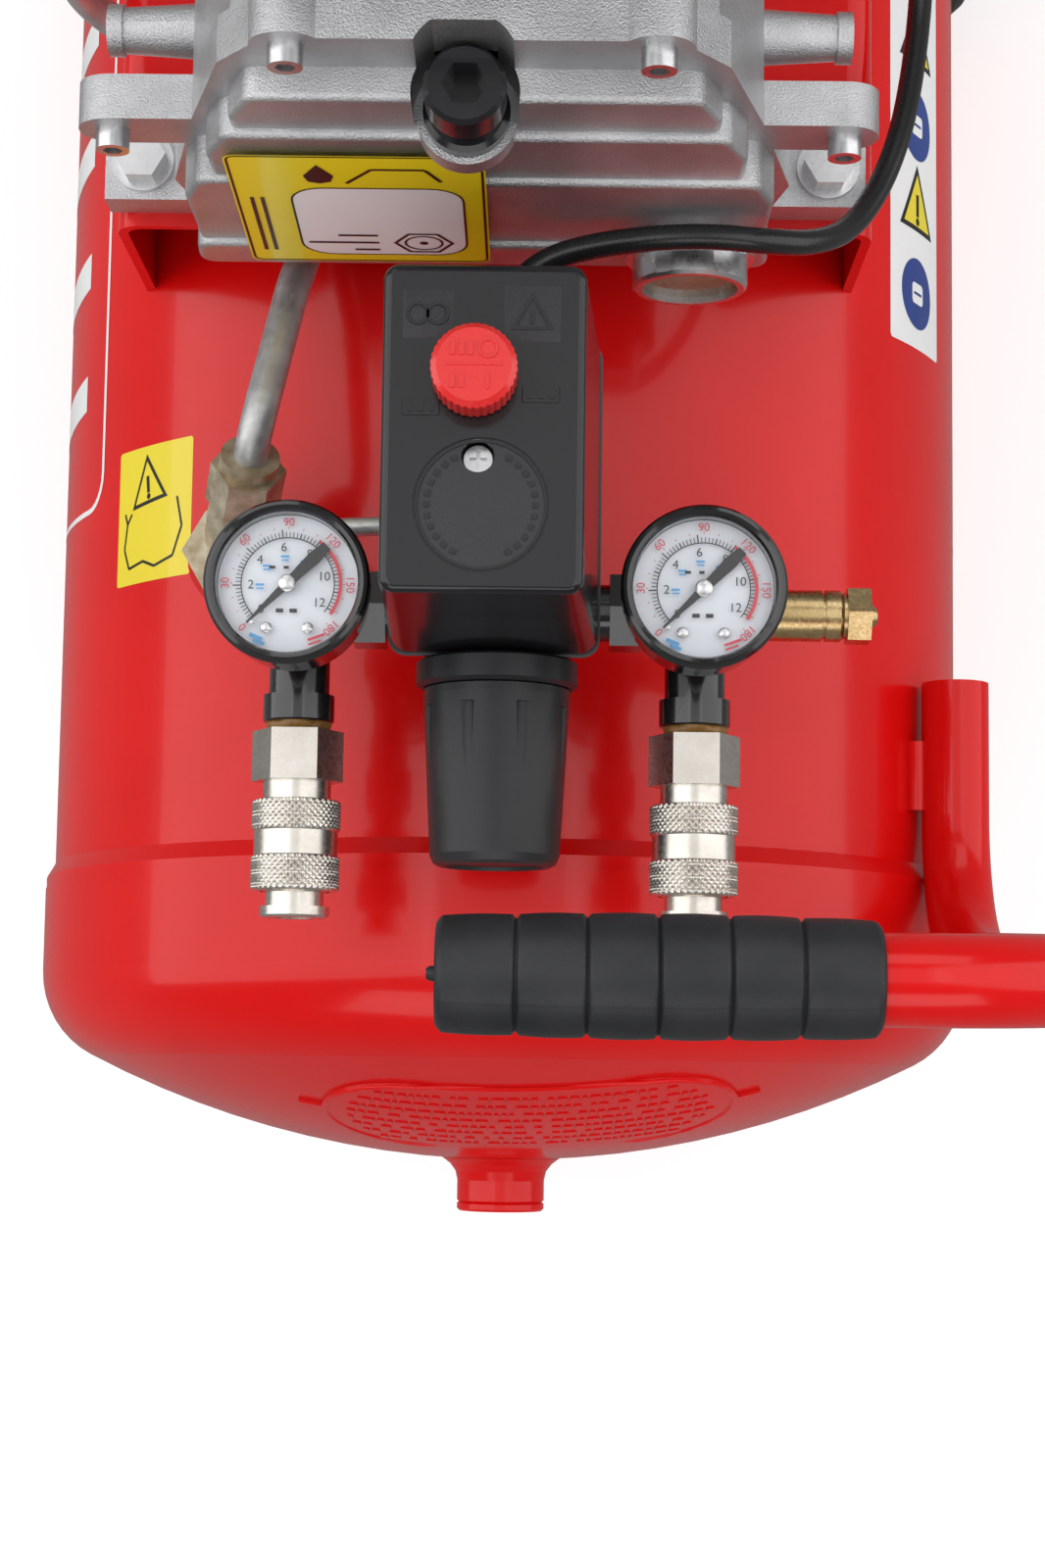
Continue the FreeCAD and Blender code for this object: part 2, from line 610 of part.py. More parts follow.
def sight_glass_lens():
    return cyl(13.4, 2.5, at(*SIGHT_GLASS) - V(0, 8, 0), FRONT)


def crankshaft():
    """Overhung crank: disc and counterweight on the motor shaft, and a pin for the rod."""
    disc = cyl(26, 12, at(PUMP_X, 268, SHAFT_UP), REAR)
    weight = cyl(44, 12, at(PUMP_X, 268, SHAFT_UP), REAR)
    weight = weight.common(bar((PUMP_X - 40, PUMP_X + 40), (260, 290), (SHAFT_UP - 50, SHAFT_UP - 8)))
    stub = cyl(8, 1.5, at(PUMP_X, 266.5, SHAFT_UP + THROW), REAR)
    crank = fused([disc, weight, stub])
    return crank.cut(cyl(SHAFT_R, 40, at(PUMP_X, 260, SHAFT_UP), REAR))


def connecting_rod():
    """Rod with its big end in line with the crank pin and its small end on the gudgeon pin."""
    big = at(PUMP_X, 250, SHAFT_UP + THROW)
    small = at(PUMP_X, 250, SHAFT_UP + THROW + ROD_LENGTH)
    beam = box(big + V(-6, 4, 11), small + V(6, 12, -8))
    rod = fused([cyl(14, 16, big, REAR), cyl(9.5, 16, small, REAR), beam])
    return without(rod, cyl(8.05, 16, big, REAR), cyl(5 + RUNNING_GAP, 16, small, REAR))


def piston():
    """Ringed piston with a skirt open around the rod, and its gudgeon pin."""
    pin_up = SHAFT_UP + THROW + ROD_LENGTH
    outline = [(-14, 0), (-14, 20.95), (5, 20.95), (5, 19.5), (7, 19.5), (7, 20.95), (9, 20.95), (9, 19.5),
               (11, 19.5), (11, 20.95), (14.5, 20.95), (14.5, 0)]
    body = turned(outline, at(PUMP_X, CYLINDER_BACK, pin_up), UP)
    slot = bar((PUMP_X - 14, PUMP_X + 14), (CYLINDER_BACK - 9, CYLINDER_BACK + 9),
               (pin_up - 15, pin_up + 10.5))
    pin = cyl(5, 36, at(PUMP_X, CYLINDER_BACK - 18, pin_up), REAR)
    return fused([body.cut(slot), pin])


def cylinder():
    """Finned cast cylinder with its bore."""
    centre = at(PUMP_X, CYLINDER_BACK, CYLINDER_FOOT_UP)
    height = CYLINDER_TOP_UP - CYLINDER_FOOT_UP
    parts = [cyl(29, height, centre, UP), box(centre + V(-42, -38, 0), centre + V(42, 38, 8))]
    for i in range(5):
        z = 13 + i * 8
        fin = box(centre + V(-50, -50, z), centre + V(50, 50, z + 2.5))
        parts.append(fin.makeFillet(14, edges_along(fin, UP)))
    parts += [cyl(7, height - 8, centre + V(x, y, 8), UP) for x, y in STUD_PLACES]
    return without(fused(parts), cyl(BORE_R, height, centre, UP), *stud_holes(centre, height))


def stud_holes(centre, height):
    return [cyl(BOLT_HOLE_R, height, centre + V(x, y, 0), UP) for x, y in STUD_PLACES]


def valve_plate():
    centre = at(PUMP_X, CYLINDER_BACK, CYLINDER_TOP_UP)
    plate = box(centre + V(-49, -49, 0), centre + V(49, 49, 4))
    plate = plate.makeFillet(12, edges_along(plate, UP))
    ports = [cyl(4, 4, centre + V(x, 0, 0), UP) for x in (-12, 12)]
    return without(plate, *stud_holes(centre, 4), *ports)


def cylinder_head():
    """Cast head with cooling fins along Y and two hollow chambers."""
    base_up = CYLINDER_TOP_UP + 4
    centre = at(PUMP_X, CYLINDER_BACK, base_up)
    height = PUMP_TOP_UP - 6 - base_up
    head = box(centre + V(-50, -50, 0), centre + V(50, 50, height))
    head = head.makeFillet(12, edges_along(head, UP))
    slots = [box(centre + V(x - 2.5, -60, 16), centre + V(x + 2.5, 60, height + 1))
             for x in range(-24, 25, 8)]
    chambers = [box(centre + V(x - 10, -26, 0), centre + V(x + 10, 26, 11)) for x in (-13, 13)]
    outlet = cyl(6, 30, centre + V(-56, 20, 8), X_AXIS)
    inlet = cyl(8, 30, centre + V(56, 0, 8), LEFT)
    return without(head, *slots, *stud_holes(centre, height), *chambers, outlet, inlet)


def head_bolts():
    top = at(PUMP_X, CYLINDER_BACK, PUMP_TOP_UP - 6)
    length = PUMP_TOP_UP - 6 - CYLINDER_FOOT_UP - 4
    return [socket_screw(6.5, 6, 4, length, top + V(x, y, 0), UP) for x, y in STUD_PLACES]


def air_filter():
    """Round intake filter on the right of the head."""
    base = at(PUMP_X + 50, CYLINDER_BACK, CYLINDER_TOP_UP + 12)
    outline = [(-20, 8), (0, 8), (0, 12), (6, 12), (9, 31), (11, 33), (40, 33), (44, 29), (44, 0), (-20, 0)]
    body = turned(outline, base, X_AXIS)
    slots = []
    for i in range(12):
        angle = math.radians(30 * i)
        centre = base + V(14, 30 * math.cos(angle), 30 * math.sin(angle))
        slots.append(cyl(3, 22, centre + V(0, 2.2 * math.cos(angle), 2.2 * math.sin(angle)), X_AXIS))
    return without(body, *slots)


# ---------------------------------------------------------------- motor

def shaft_point(back):
    return at(PUMP_X, back, SHAFT_UP)


def motor_housing():
    """Finned aluminium housing with a foot on the platform."""
    length = MOTOR_REAR_BACK - MOTOR_FRONT_BACK
    parts = [cyl(MOTOR_R, length, shaft_point(MOTOR_FRONT_BACK), REAR)]
    parts.append(bar((PUMP_X - 50, PUMP_X + 50), (330, 420), (PLATFORM_UP, SHAFT_UP - 50)))
    for i in range(24):
        angle = 15 * i
        if 235 < angle < 305:
            continue
        fin = box(V(MOTOR_R - 3, 0, -1.2), V(MOTOR_R + 8, length - 16, 1.2))
        fin.rotate(V(0, 0, 0), REAR, angle)
        fin.translate(shaft_point(MOTOR_FRONT_BACK + 8))
        parts.append(fin)
    return fused(parts).cut(cyl(MOTOR_R - 4, length, shaft_point(MOTOR_FRONT_BACK), REAR))


def motor_end_shield():
    """Rear shield that holds the rear bearing."""
    back = MOTOR_REAR_BACK
    shield = cyl(MOTOR_R, 8, shaft_point(back), REAR)
    shield = shield.cut(cyl(14, 8, shaft_point(back), REAR))
    for i in range(6):
        angle = math.radians(60 * i + 30)
        centre = shaft_point(back) + V(45 * math.cos(angle), 0, 45 * math.sin(angle))
        shield = shield.cut(cyl(9, 8, centre, REAR))
    return shield


def stator():
    core = ring(MOTOR_R - 4, 43, 90, shaft_point(325), REAR)
    windings = [ring(62, 46, 12, shaft_point(back), REAR) for back in (313, 415)]
    return fused([core] + windings)


def rotor():
    """Squirrel-cage rotor on the shaft that also carries the crank and the fan."""
    core = cyl(42, 90, shaft_point(325), REAR)
    shaft = cyl(SHAFT_R, 212, shaft_point(268), REAR)
    return fused([core, shaft])


def motor_bearings():
    front = ring(17.5, SHAFT_R + RUNNING_GAP, 12, shaft_point(286), REAR)
    rear = ring(14, SHAFT_R + RUNNING_GAP, 8, shaft_point(MOTOR_REAR_BACK), REAR)
    return Part.makeCompound([front, rear])


def cooling_fan():
    """Plastic fan with eight blades on the rear end of the shaft."""
    hub = ring(16, SHAFT_R, 22, shaft_point(454), REAR)
    plate = ring(58, SHAFT_R, 2.5, shaft_point(454), REAR)
    blades = []
    for i in range(8):
        blade = box(V(14, 0, -1.2), V(58, 20, 1.2))
        blade.rotate(V(0, 0, 0), REAR, 45 * i)
        blade.translate(shaft_point(455))
        blades.append(blade)
    return fused([hub, plate] + blades)


def fan_cover():
    """Moulded cowl with concentric air slots."""
    outer = cyl(MOTOR_R + 5, 62, shaft_point(432), REAR)
    outer = outer.makeFillet(8, edges_near(outer, REAR, shaft_point(494)))
    cowl = outer.cut(cyl(MOTOR_R + 2, 58, shaft_point(432), REAR))
    collar = ring(MOTOR_R + 3, MOTOR_R, 6, shaft_point(440), REAR)
    slots = []
    for inner_r in (20, 32, 44, 56):
        slot = ring(inner_r + 6, inner_r, 10, shaft_point(486), REAR)
        for angle in (0, 90):
            spoke = box(V(-80, -1, -3), V(80, 12, 3))
            spoke.rotate(V(0, 0, 0), REAR, angle + 45)
            spoke.translate(shaft_point(486))
            slot = slot.cut(spoke)
        slots.append(slot)
    return fused([cowl, collar]).cut(Part.makeCompound(slots))


def capacitor_box():
    """Terminal and capacitor box on the right of the motor."""
    body = bar((60, 118), (398, 428), (196, 262))
    body = body.makeFillet(5, edges_along(body, REAR))
    return body.cut(cyl(MOTOR_R + 8.3, 140, shaft_point(MOTOR_FRONT_BACK), REAR))


# ---------------------------------------------------------------- air line


def valve_elbow():
    """Elbow-shaped body of the non-return valve, screwed into the tank."""
    foot = at(*CHECK_VALVE_FOOT)
    length = (at(*CHECK_VALVE_TOP) - foot).Length
    thread = cyl(7.9, 18, V(foot.x, foot.y, TANK_AXIS_Z + 124), UP)
    body = hexagon(24, 15, V(foot.x, foot.y, TANK_AXIS_Z + 142), UP)
    inlet = cyl(9.5, length - 18, foot, CHECK_VALVE_AXIS)
    return fused([thread, body, inlet])


def check_valve():
    """Brass non-return valve and the nut that holds the delivery tube in it."""
    foot = at(*CHECK_VALVE_FOOT)
    start = at(*CHECK_VALVE_TOP) - CHECK_VALVE_AXIS * 18
    passage = cyl(3, 60, foot + CHECK_VALVE_AXIS * 8, CHECK_VALVE_AXIS)
    nut = fused([hexagon(19, 14, start, CHECK_VALVE_AXIS), cyl(8.6, 18, start, CHECK_VALVE_AXIS)])
    nut = nut.cut(cyl(DELIVERY_R, 40, start, CHECK_VALVE_AXIS))
    return Part.makeCompound([valve_elbow().cut(passage), nut])


def delivery_tube():
    """Aluminium tube from the cylinder head down to the check valve."""
    start = at(*CHECK_VALVE_TOP) - CHECK_VALVE_AXIS * 17
    points = [start, at(-70, 120.5, 188), at(-62, 168, 170), at(-58, 190, 154), at(-75, 235, 151),
              at(-128, 258, 152), at(-128, 270, 378), at(-56, 278, 378)]
    return swept(path_of(points, [14, 30, 30, 30, 20, 22]), DELIVERY_R)


def manifold():
    """Black pipe along X with a riser to the tank, two gauge bosses and two outlet adaptors."""
    half = GAUGE_X + 11
    outlet = [(0, 0), (0, 10.5), (12, 10.5), (14, 8.4), (24.5, 8.4), (24.5, 9.9), (31.6, 9.9), (32, 9.5),
              (32, 0)]
    gauge_boss = [(0, 0), (0, 10), (11, 10), (12, 9), (12, 0)]
    parts = [cyl(MANIFOLD_R, 2 * half, at(-half, MANIFOLD_BACK, MANIFOLD_UP), X_AXIS)]
    parts.append(cyl(MANIFOLD_R, 40, at(0, MANIFOLD_BACK, SHELL_R + 6), UP))
    parts.append(cyl(11, 32, at(0, MANIFOLD_BACK, SHELL_R + 16), UP))
    parts.append(hexagon(26, 12, at(0, MANIFOLD_BACK, SHELL_R + 16), UP))
    parts.append(hexagon(20, 9, at(-31, MANIFOLD_BACK, MANIFOLD_UP), LEFT))
    parts.append(hexagon(20, 9, at(31, MANIFOLD_BACK, MANIFOLD_UP), X_AXIS))
    for x in (-GAUGE_X, GAUGE_X):
        parts.append(turned(outlet, at(x, MANIFOLD_BACK, MANIFOLD_UP), FRONT))
        parts.append(turned(gauge_boss, at(x, MANIFOLD_BACK, MANIFOLD_UP), UP))
    passages = [cyl(4, 160, at(-62, MANIFOLD_BACK, MANIFOLD_UP), X_AXIS),
                cyl(5, 60, at(0, MANIFOLD_BACK, SHELL_R + 4), UP)]
    passages += [cyl(4, 40, at(x, MANIFOLD_BACK, MANIFOLD_UP), FRONT) for x in (-GAUGE_X, GAUGE_X)]
    return without(fused(parts), *passages)


def switch_base():
    """Lower body of the pressure switch, seated on the manifold."""
    flange = bar((-30, 28.3), (54, 142.5), (SWITCH_RIM_UP - 2, SWITCH_RIM_UP))
    flange = flange.makeFillet(5, edges_along(flange, UP))
    plug = bar((-26.6, 24.9), (57.4, 139.1), (SWITCH_RIM_UP - 1, SWITCH_RIM_UP + 2))
    plug = plug.makeFillet(4, edges_along(plug, UP))
    deck = bar((SWITCH_X - 22, SWITCH_X + 22), (MANIFOLD_BACK + 14, 136), (184, SWITCH_RIM_UP - 1))
    deck = deck.makeFillet(4, edges_along(deck, UP))
    return fused([flange, plug, deck])


def loft(sections):
    return Part.makeLoft(sections, True, True)


def rounded_section(x_range, back_range, up, radius):
    low, high = at(x_range[0], back_range[0], up), at(x_range[1], back_range[1], up)
    plate = box(low, V(high.x, high.y, low.z + 1))
    plate = plate.makeFillet(radius, edges_along(plate, UP))
    return next(face for face in plate.Faces if abs(face.CenterOfMass.z - low.z) < 1e-6).OuterWire


def switch_cover():
    """Tapered glossy cover of the pressure switch, a hollow shell with a skirt round its rim."""
    outer = loft([rounded_section((-29.5, 27.8), (54.5, 142), SWITCH_RIM_UP, 5),
                  rounded_section((-28.2, 22.6), (58, 141.5), SWITCH_TOP_UP, 4)])
    outer = outer.makeFillet(2.2, edges_near(outer, UP, at(0, 0, SWITCH_TOP_UP)))
    inner = loft([rounded_section((-27, 25.3), (57, 139.5), SWITCH_RIM_UP, 3),
                  rounded_section((-25.7, 20.1), (60.5, 139), SWITCH_TOP_UP - 3, 2)])
    disc = cyl(17, 3, at(*SWITCH_DISC, SWITCH_TOP_UP - 0.6), UP)
    screw_well = cyl(4.2, 9, at(*SWITCH_SCREW, SWITCH_TOP_UP - 8), UP)
    knob_hole = cyl(6.3, 12, at(*SWITCH_KNOB, SWITCH_TOP_UP - 8), UP)
    post = cyl(6.5, SWITCH_TOP_UP - SWITCH_RIM_UP - 4, at(*SWITCH_SCREW, SWITCH_RIM_UP + 2), UP)
    shell = fused([outer.cut(inner), post.common(outer)])
    return without(shell, disc, screw_well, knob_hole)


def switch_screw():
    base = at(*SWITCH_SCREW, SWITCH_TOP_UP - 8)
    cross = [box(base + V(-x, -y, 1.5), base + V(x, y, 3)) for x, y in ((2.2, 0.5), (0.5, 2.2))]
    return without(cyl(3.6, 3, base, UP), *cross)


def switch_knob():
    """Round red knob with a knurled edge, pulled up to start."""
    base = at(*SWITCH_KNOB, SWITCH_TOP_UP + 0.6)
    outline = [(0, 0), (0, KNOB_R - 0.6), (1, KNOB_R), (9.5, KNOB_R), (11, KNOB_R - 1.5), (11, 0)]
    knob = turned(outline, base, UP)
    grooves = []
    for i in range(36):
        angle = math.radians(10 * i)
        rim = base + V(KNOB_R * math.cos(angle), KNOB_R * math.sin(angle), -0.5)
        grooves.append(cyl(0.45, 10.2, rim, UP))
    knob = knob.cut(Part.makeCompound(grooves))
    stem = cyl(5.5, 18, base, DOWN)
    return fused([knob, stem])


def switch_contacts():
    """Snap-action contact block and membrane inside the switch."""
    block = bar((SWITCH_X - 16, SWITCH_X + 16), (84, 132), (SWITCH_RIM_UP + 2, 248))
    return block.cut(cyl(7, 60, at(*SWITCH_SCREW, SWITCH_RIM_UP), UP))


def cable_glands():
    """Glands of the motor lead at the switch and at the motor's box, and the mains cord's empty one."""
    first = at(*LEAD_ROUTE[0])
    last = at(*LEAD_ROUTE[-1])
    switch_gland = turned([(0, LEAD_R), (0, 7), (3, 7), (4, 5.4), (8, 4.6), (8, LEAD_R)],
                          first - V(0, 8, 0), REAR)
    box_gland = turned([(0, LEAD_R), (0, 7.5), (3, 7.5), (4, 5.6), (9, 4.6), (9, LEAD_R)],
                       last + V(0, 9, 0), FRONT)
    return Part.makeCompound([switch_gland, box_gland, mains_inlet()])


def mains_inlet():
    """Blanked gland on the box for the mains cord."""
    outline = [(0, 0), (0, 9), (5, 9), (6, 7), (14, 6), (14, 4), (4, 4), (4, 0)]
    return turned(outline, at(98, 428, 214), REAR)


def motor_lead():
    """Black lead from the pressure switch round the pump's foot to the motor's box."""
    points = [at(*p) for p in LEAD_ROUTE]
    radii = widest_bends(points)
    print("motor lead bend radii:", [round(r, 1) for r in radii])
    path = path_of(points, radii)
    lead = swept(path, LEAD_R)
    print("motor lead length", round(path.Length, 1), "volume ratio",
          round(lead.Volume / (math.pi * LEAD_R ** 2 * path.Length), 4))
    return lead


def unloader_tube():
    """Thin tube from the check valve's side to the underside of the pressure switch."""
    side = at(*CHECK_VALVE_FOOT) + CHECK_VALVE_AXIS * 13
    points = [side, side + V(6, 3, 2), at(-60, 92, 188), at(-34, 93, 190), at(SWITCH_X - 22, 93, 190)]
    return swept(path_of(points, [6, 12, 60]), 2.7).cut(valve_elbow())


def regulator_body():
    """Regulator housing between the manifold and its knob."""
    outline = [(11.1, 0), (11.1, 7.8), (14.2, 7.8), (14.2, 21.5), (15, 22.5), (21, 22.5), (22, 21), (22, 0)]
    body = turned(outline, at(0, MANIFOLD_BACK, MANIFOLD_UP), FRONT)
    return body.cut(cyl(7, 8.2, at(0, MANIFOLD_BACK - 14.2, MANIFOLD_UP), FRONT))


def regulator_knob():
    """Tapered fluted knob that turns on the regulator housing."""
    rear_r = 20.3
    front_r = 18.0
    length = 49.0
    start = at(0, MANIFOLD_BACK - 22.4, MANIFOLD_UP)
    outline = [(0, 0), (0, rear_r), (2, rear_r), (length - 3, front_r), (length - 0.8, front_r - 1),
               (length, front_r - 2.6), (length, front_r - 4), (length - 1, front_r - 4.6), (length - 1, 0)]
    knob = turned(outline, start, FRONT)
    flutes = []
    for i in range(8):
        angle = math.radians(45 * i + 22.5)
        offset = rear_r + 1.4
        low = start + V(offset * math.cos(angle), 2, offset * math.sin(angle))
        flutes.append(cyl(2.6, length - 12, low + V(0, -7, 0), FRONT))
    stem = cyl(6.95, 7.5, start, REAR)
    return fused([knob.cut(Part.makeCompound(flutes)), stem])


def gauge_case(x):
    """Pressed case of a pressure gauge, open under its lens."""
    base_up = MANIFOLD_UP + 12
    depth = GAUGE_FACE_UP - base_up
    outline = [(0, 0), (0, 8), (4, 8), (5, 12), (7, 19.8), (9, 20.6), (depth - 9, 20.6),
               (depth - 8, BEZEL_R - 0.4), (depth - 6.5, BEZEL_R), (depth - 1.5, BEZEL_R),
               (depth - 0.3, BEZEL_R - 0.7), (depth, BEZEL_R - 1.6), (depth - 0.4, BEZEL_R - 2.6),
               (depth - 1.4, BEZEL_R - 3.2), (depth - 7, BEZEL_R - 3.2), (depth - 7, 19.3), (10, 18.4),
               (10, 0)]
    return turned(outline, at(x, MANIFOLD_BACK, base_up), UP)


def gauge_dial(x):
    dial = cyl(18.7, 1.0, at(x, MANIFOLD_BACK, GAUGE_FACE_UP - 7), UP)
    post = cyl(1.0, 3.2, at(x, MANIFOLD_BACK, GAUGE_FACE_UP - 7), UP)
    return fused([dial, post])


def gauge_lens(x):
    return cyl(18.8, 1.2, at(x, MANIFOLD_BACK, GAUGE_FACE_UP - 2.7), UP)


def gauge_movement(x):
    """Bourdon tube movement behind the dial."""
    tube = ring(15, 12, 4, at(x, MANIFOLD_BACK, MANIFOLD_UP + 24), UP)
    gap = box(at(x - 20, MANIFOLD_BACK - 20, MANIFOLD_UP + 20), at(x, MANIFOLD_BACK, MANIFOLD_UP + 30))
    centre = at(x, MANIFOLD_BACK, MANIFOLD_UP)
    block = box(centre + V(-5, 9, 22), centre + V(5, 15, 36))
    plate = cyl(10, 1.5, centre + V(0, 0, 34.5), UP)
    return fused([tube.cut(gap), block, plate])


def gauge_pointer(x):
    """Pointer resting at zero, towards the lower left of the dial, with a broad tail."""
    up = GAUGE_FACE_UP - 4.6
    hub = ring(2.2, 1.05, 1.2, at(x, MANIFOLD_BACK, up), UP)
    outline = [(-1.2, 0), (-1.8, 10), (-1.3, 14.5), (1.3, 14.5), (1.8, 10), (1.2, 0), (0.25, -15),
               (-0.25, -15)]
    points = [V(px, py, 0) for px, py in outline]
    blade = Part.Face(Part.makePolygon(points + points[:1])).extrude(V(0, 0, 0.5))
    blade.rotate(V(0, 0, 0), UP, -POINTER_ZERO)
    blade.translate(at(x, MANIFOLD_BACK, up + 0.2))
    return fused([hub, blade.cut(cyl(1.05, 3, at(x, MANIFOLD_BACK, up - 1), UP))])


def coupler_body(x):
    """Fixed body of a quick coupler: hexagon, barrel and nose bore for a hose plug."""
    start = at(x, COUPLER_REAR_BACK, MANIFOLD_UP)
    length = 51.7
    outline = [(-2.5, 0), (-2.5, 7.9), (0, 7.9), (3, 9.4), (length - 7.5, 9.4), (length - 7, 8.0),
               (length - 3, 8.0), (length - 3, 9.6), (length - 0.6, 9.6), (length, 9.0),
               (length, COUPLER_BORE_R), (length - COUPLER_BORE_DEPTH, COUPLER_BORE_R),
               (length - COUPLER_BORE_DEPTH, 0)]
    body = turned(outline, start, FRONT)
    return fused([body, hexagon(22, 14, start, FRONT)]).cut(cyl(3, 40, start + V(0, 3, 0), FRONT))


def coupler_sleeve(x):
    """Knurled release sleeve that slides back along the coupler."""
    start = at(x, COUPLER_REAR_BACK - 19.2, MANIFOLD_UP)
    outer = 12.25
    smooth = 11.6
    bore = 9.4 + RUNNING_GAP
    outline = [(0, bore), (0, outer - 0.8), (0.8, outer), (8, outer), (8.7, smooth), (15.4, smooth),
               (16.1, outer), (24.4, outer), (25.2, outer - 0.8), (25.2, bore)]
    return turned(outline, start, FRONT)


def safety_valve():
    """Brass safety valve on the right end of the manifold."""
    start = at(GAUGE_X + 11, MANIFOLD_BACK, MANIFOLD_UP)
    outline = [(0, 0), (0, 8.2), (3, 8.2), (4, 7.2), (24, 7.2), (24, 6.4), (25, 6.4), (25, 7.2), (29, 7.2),
               (30, 6.4), (31, 6.4), (31, 3.5), (38, 3.4), (39.5, 2.2), (40, 0)]
    body = turned(outline, start, X_AXIS)
    cap = hexagon(14.5, 6.5, start + V(31, 0, 0), X_AXIS)
    return fused([body, cap])


def both_sides(build):
    """Left and right copies of a piece that sits under or in front of a gauge."""
    return Part.makeCompound([build(x) for x in (-GAUGE_X, GAUGE_X)])


def export(name, shape):
    shape.exportStep("parts/" + name + ".step")
    print(name, "solids", len(shape.Solids), "valid", shape.isValid())


SINGLE_PARTS = [tank_shell, tank_heads, data_plate, tank_sockets, pump_platform, tank_brackets, front_feet,
                foot_bolts, drain_valve_body, drain_valve_knob, handle_tube, handle_grip, crankcase,
                crankcase_cover, machine_screws, oil_filler_plug, sight_glass_ring, sight_glass_lens,
                crankshaft, connecting_rod, piston, cylinder, valve_plate, cylinder_head, air_filter,
                motor_housing, motor_end_shield, stator, rotor, motor_bearings, cooling_fan, fan_cover,
                capacitor_box, cable_glands, motor_lead, check_valve, delivery_tube, unloader_tube, manifold,
                switch_base, switch_cover, switch_knob, switch_contacts, regulator_body, regulator_knob,
                safety_valve, wheel_axle]


def main():
    os.makedirs("parts", exist_ok=True)
    for build in SINGLE_PARTS:
        export(build.__name__, build())
    for build in (wheel_rim, wheel_tyre):
        wheel_part = build()
        export("right_" + build.__name__, wheel_part)
        export("left_" + build.__name__, mirrored_x(wheel_part))
    export("gauge_cases", both_sides(gauge_case))
    export("gauge_dials", both_sides(gauge_dial))
    export("gauge_lenses", both_sides(gauge_lens))
    export("gauge_movements", both_sides(gauge_movement))
    export("coupler_bodies", both_sides(coupler_body))
    for side, x in (("left", -GAUGE_X), ("right", GAUGE_X)):
        export(side + "_gauge_pointer", gauge_pointer(x))
        export(side + "_coupler_sleeve", coupler_sleeve(x))


main()
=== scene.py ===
import math
import random

import bmesh
import bpy
from mathutils import Matrix, Vector


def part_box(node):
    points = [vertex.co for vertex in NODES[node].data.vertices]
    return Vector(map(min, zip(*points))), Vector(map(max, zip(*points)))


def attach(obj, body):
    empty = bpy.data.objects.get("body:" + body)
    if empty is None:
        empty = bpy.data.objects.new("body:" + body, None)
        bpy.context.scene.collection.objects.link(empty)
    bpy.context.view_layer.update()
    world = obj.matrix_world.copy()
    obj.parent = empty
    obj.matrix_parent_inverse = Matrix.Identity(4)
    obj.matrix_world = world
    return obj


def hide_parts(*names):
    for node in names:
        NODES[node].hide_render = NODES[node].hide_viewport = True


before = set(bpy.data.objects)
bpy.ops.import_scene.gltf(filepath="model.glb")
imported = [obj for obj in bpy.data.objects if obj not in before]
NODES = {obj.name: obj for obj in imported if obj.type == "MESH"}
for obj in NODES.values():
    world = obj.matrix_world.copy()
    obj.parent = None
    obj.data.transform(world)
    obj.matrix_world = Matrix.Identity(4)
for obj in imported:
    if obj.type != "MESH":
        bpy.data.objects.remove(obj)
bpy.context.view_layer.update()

# Everything is in metres in the shared frame: +X right, +Y towards the wheels, +Z up, floor at Z = 0.
TANK_AXIS_Z = 0.240
TANK_R = 0.155
FRONT_JOINT_Y = -0.27125
GAUGE_X = 0.055
MANIFOLD_BACK = 0.068
MANIFOLD_UP = 0.195


def at(x, back, up):
    """Point at x, back behind the front head joint and up above the tank's axis."""
    return Vector((x, FRONT_JOINT_Y + back, TANK_AXIS_Z + up))


# ---------------------------------------------------------------- camera

CAMERA_PLACE = (0.0145, -0.33125, 1.164)
CAMERA_TURN = (6.2547, 0.4613, 0.8173)
CAMERA_LENS = 60.75
SENSOR_WIDTH = 36
NEAREST_SEEN = 0.02


def add_camera():
    data = bpy.data.cameras.new("camera")
    data.lens = CAMERA_LENS
    data.sensor_width = SENSOR_WIDTH
    data.clip_start = NEAREST_SEEN
    camera = bpy.data.objects.new("camera", data)
    camera.location = CAMERA_PLACE
    camera.rotation_euler = [math.radians(a) for a in CAMERA_TURN]
    bpy.context.scene.collection.objects.link(camera)
    bpy.context.scene.camera = camera


add_camera()


# ---------------------------------------------------------------- materials

NOISE_ROUGHNESS = 0.55
PATCH_RANGE = (0.35, 0.65)
FINE_RANGE = (0.3, 0.7)


def node_tree(name):
    material = bpy.data.materials.new(name)
    material.use_nodes = True
    tree = material.node_tree
    shader = tree.nodes["Principled BSDF"]
    return material, tree, shader


def noise(tree, scale, detail):
    """Noise texture over the object's own place, with scale in features per metre."""
    where = tree.nodes.new("ShaderNodeTexCoord")
    mapping = tree.nodes.new("ShaderNodeMapping")
    texture = tree.nodes.new("ShaderNodeTexNoise")
    texture.inputs["Scale"].default_value = scale
    texture.inputs["Detail"].default_value = detail
    texture.inputs["Roughness"].default_value = NOISE_ROUGHNESS
    tree.links.new(where.outputs["Object"], mapping.inputs["Vector"])
    tree.links.new(mapping.outputs["Vector"], texture.inputs["Vector"])
    return texture.outputs["Fac"]


def blend_colours(tree, factor, first, second):
    ramp = tree.nodes.new("ShaderNodeValToRGB")
    for element, position, colour in zip(ramp.color_ramp.elements, PATCH_RANGE, (first, second)):
        element.position = position
        element.color = (*colour, 1)
    tree.links.new(factor, ramp.inputs["Fac"])
    return ramp.outputs["Color"]


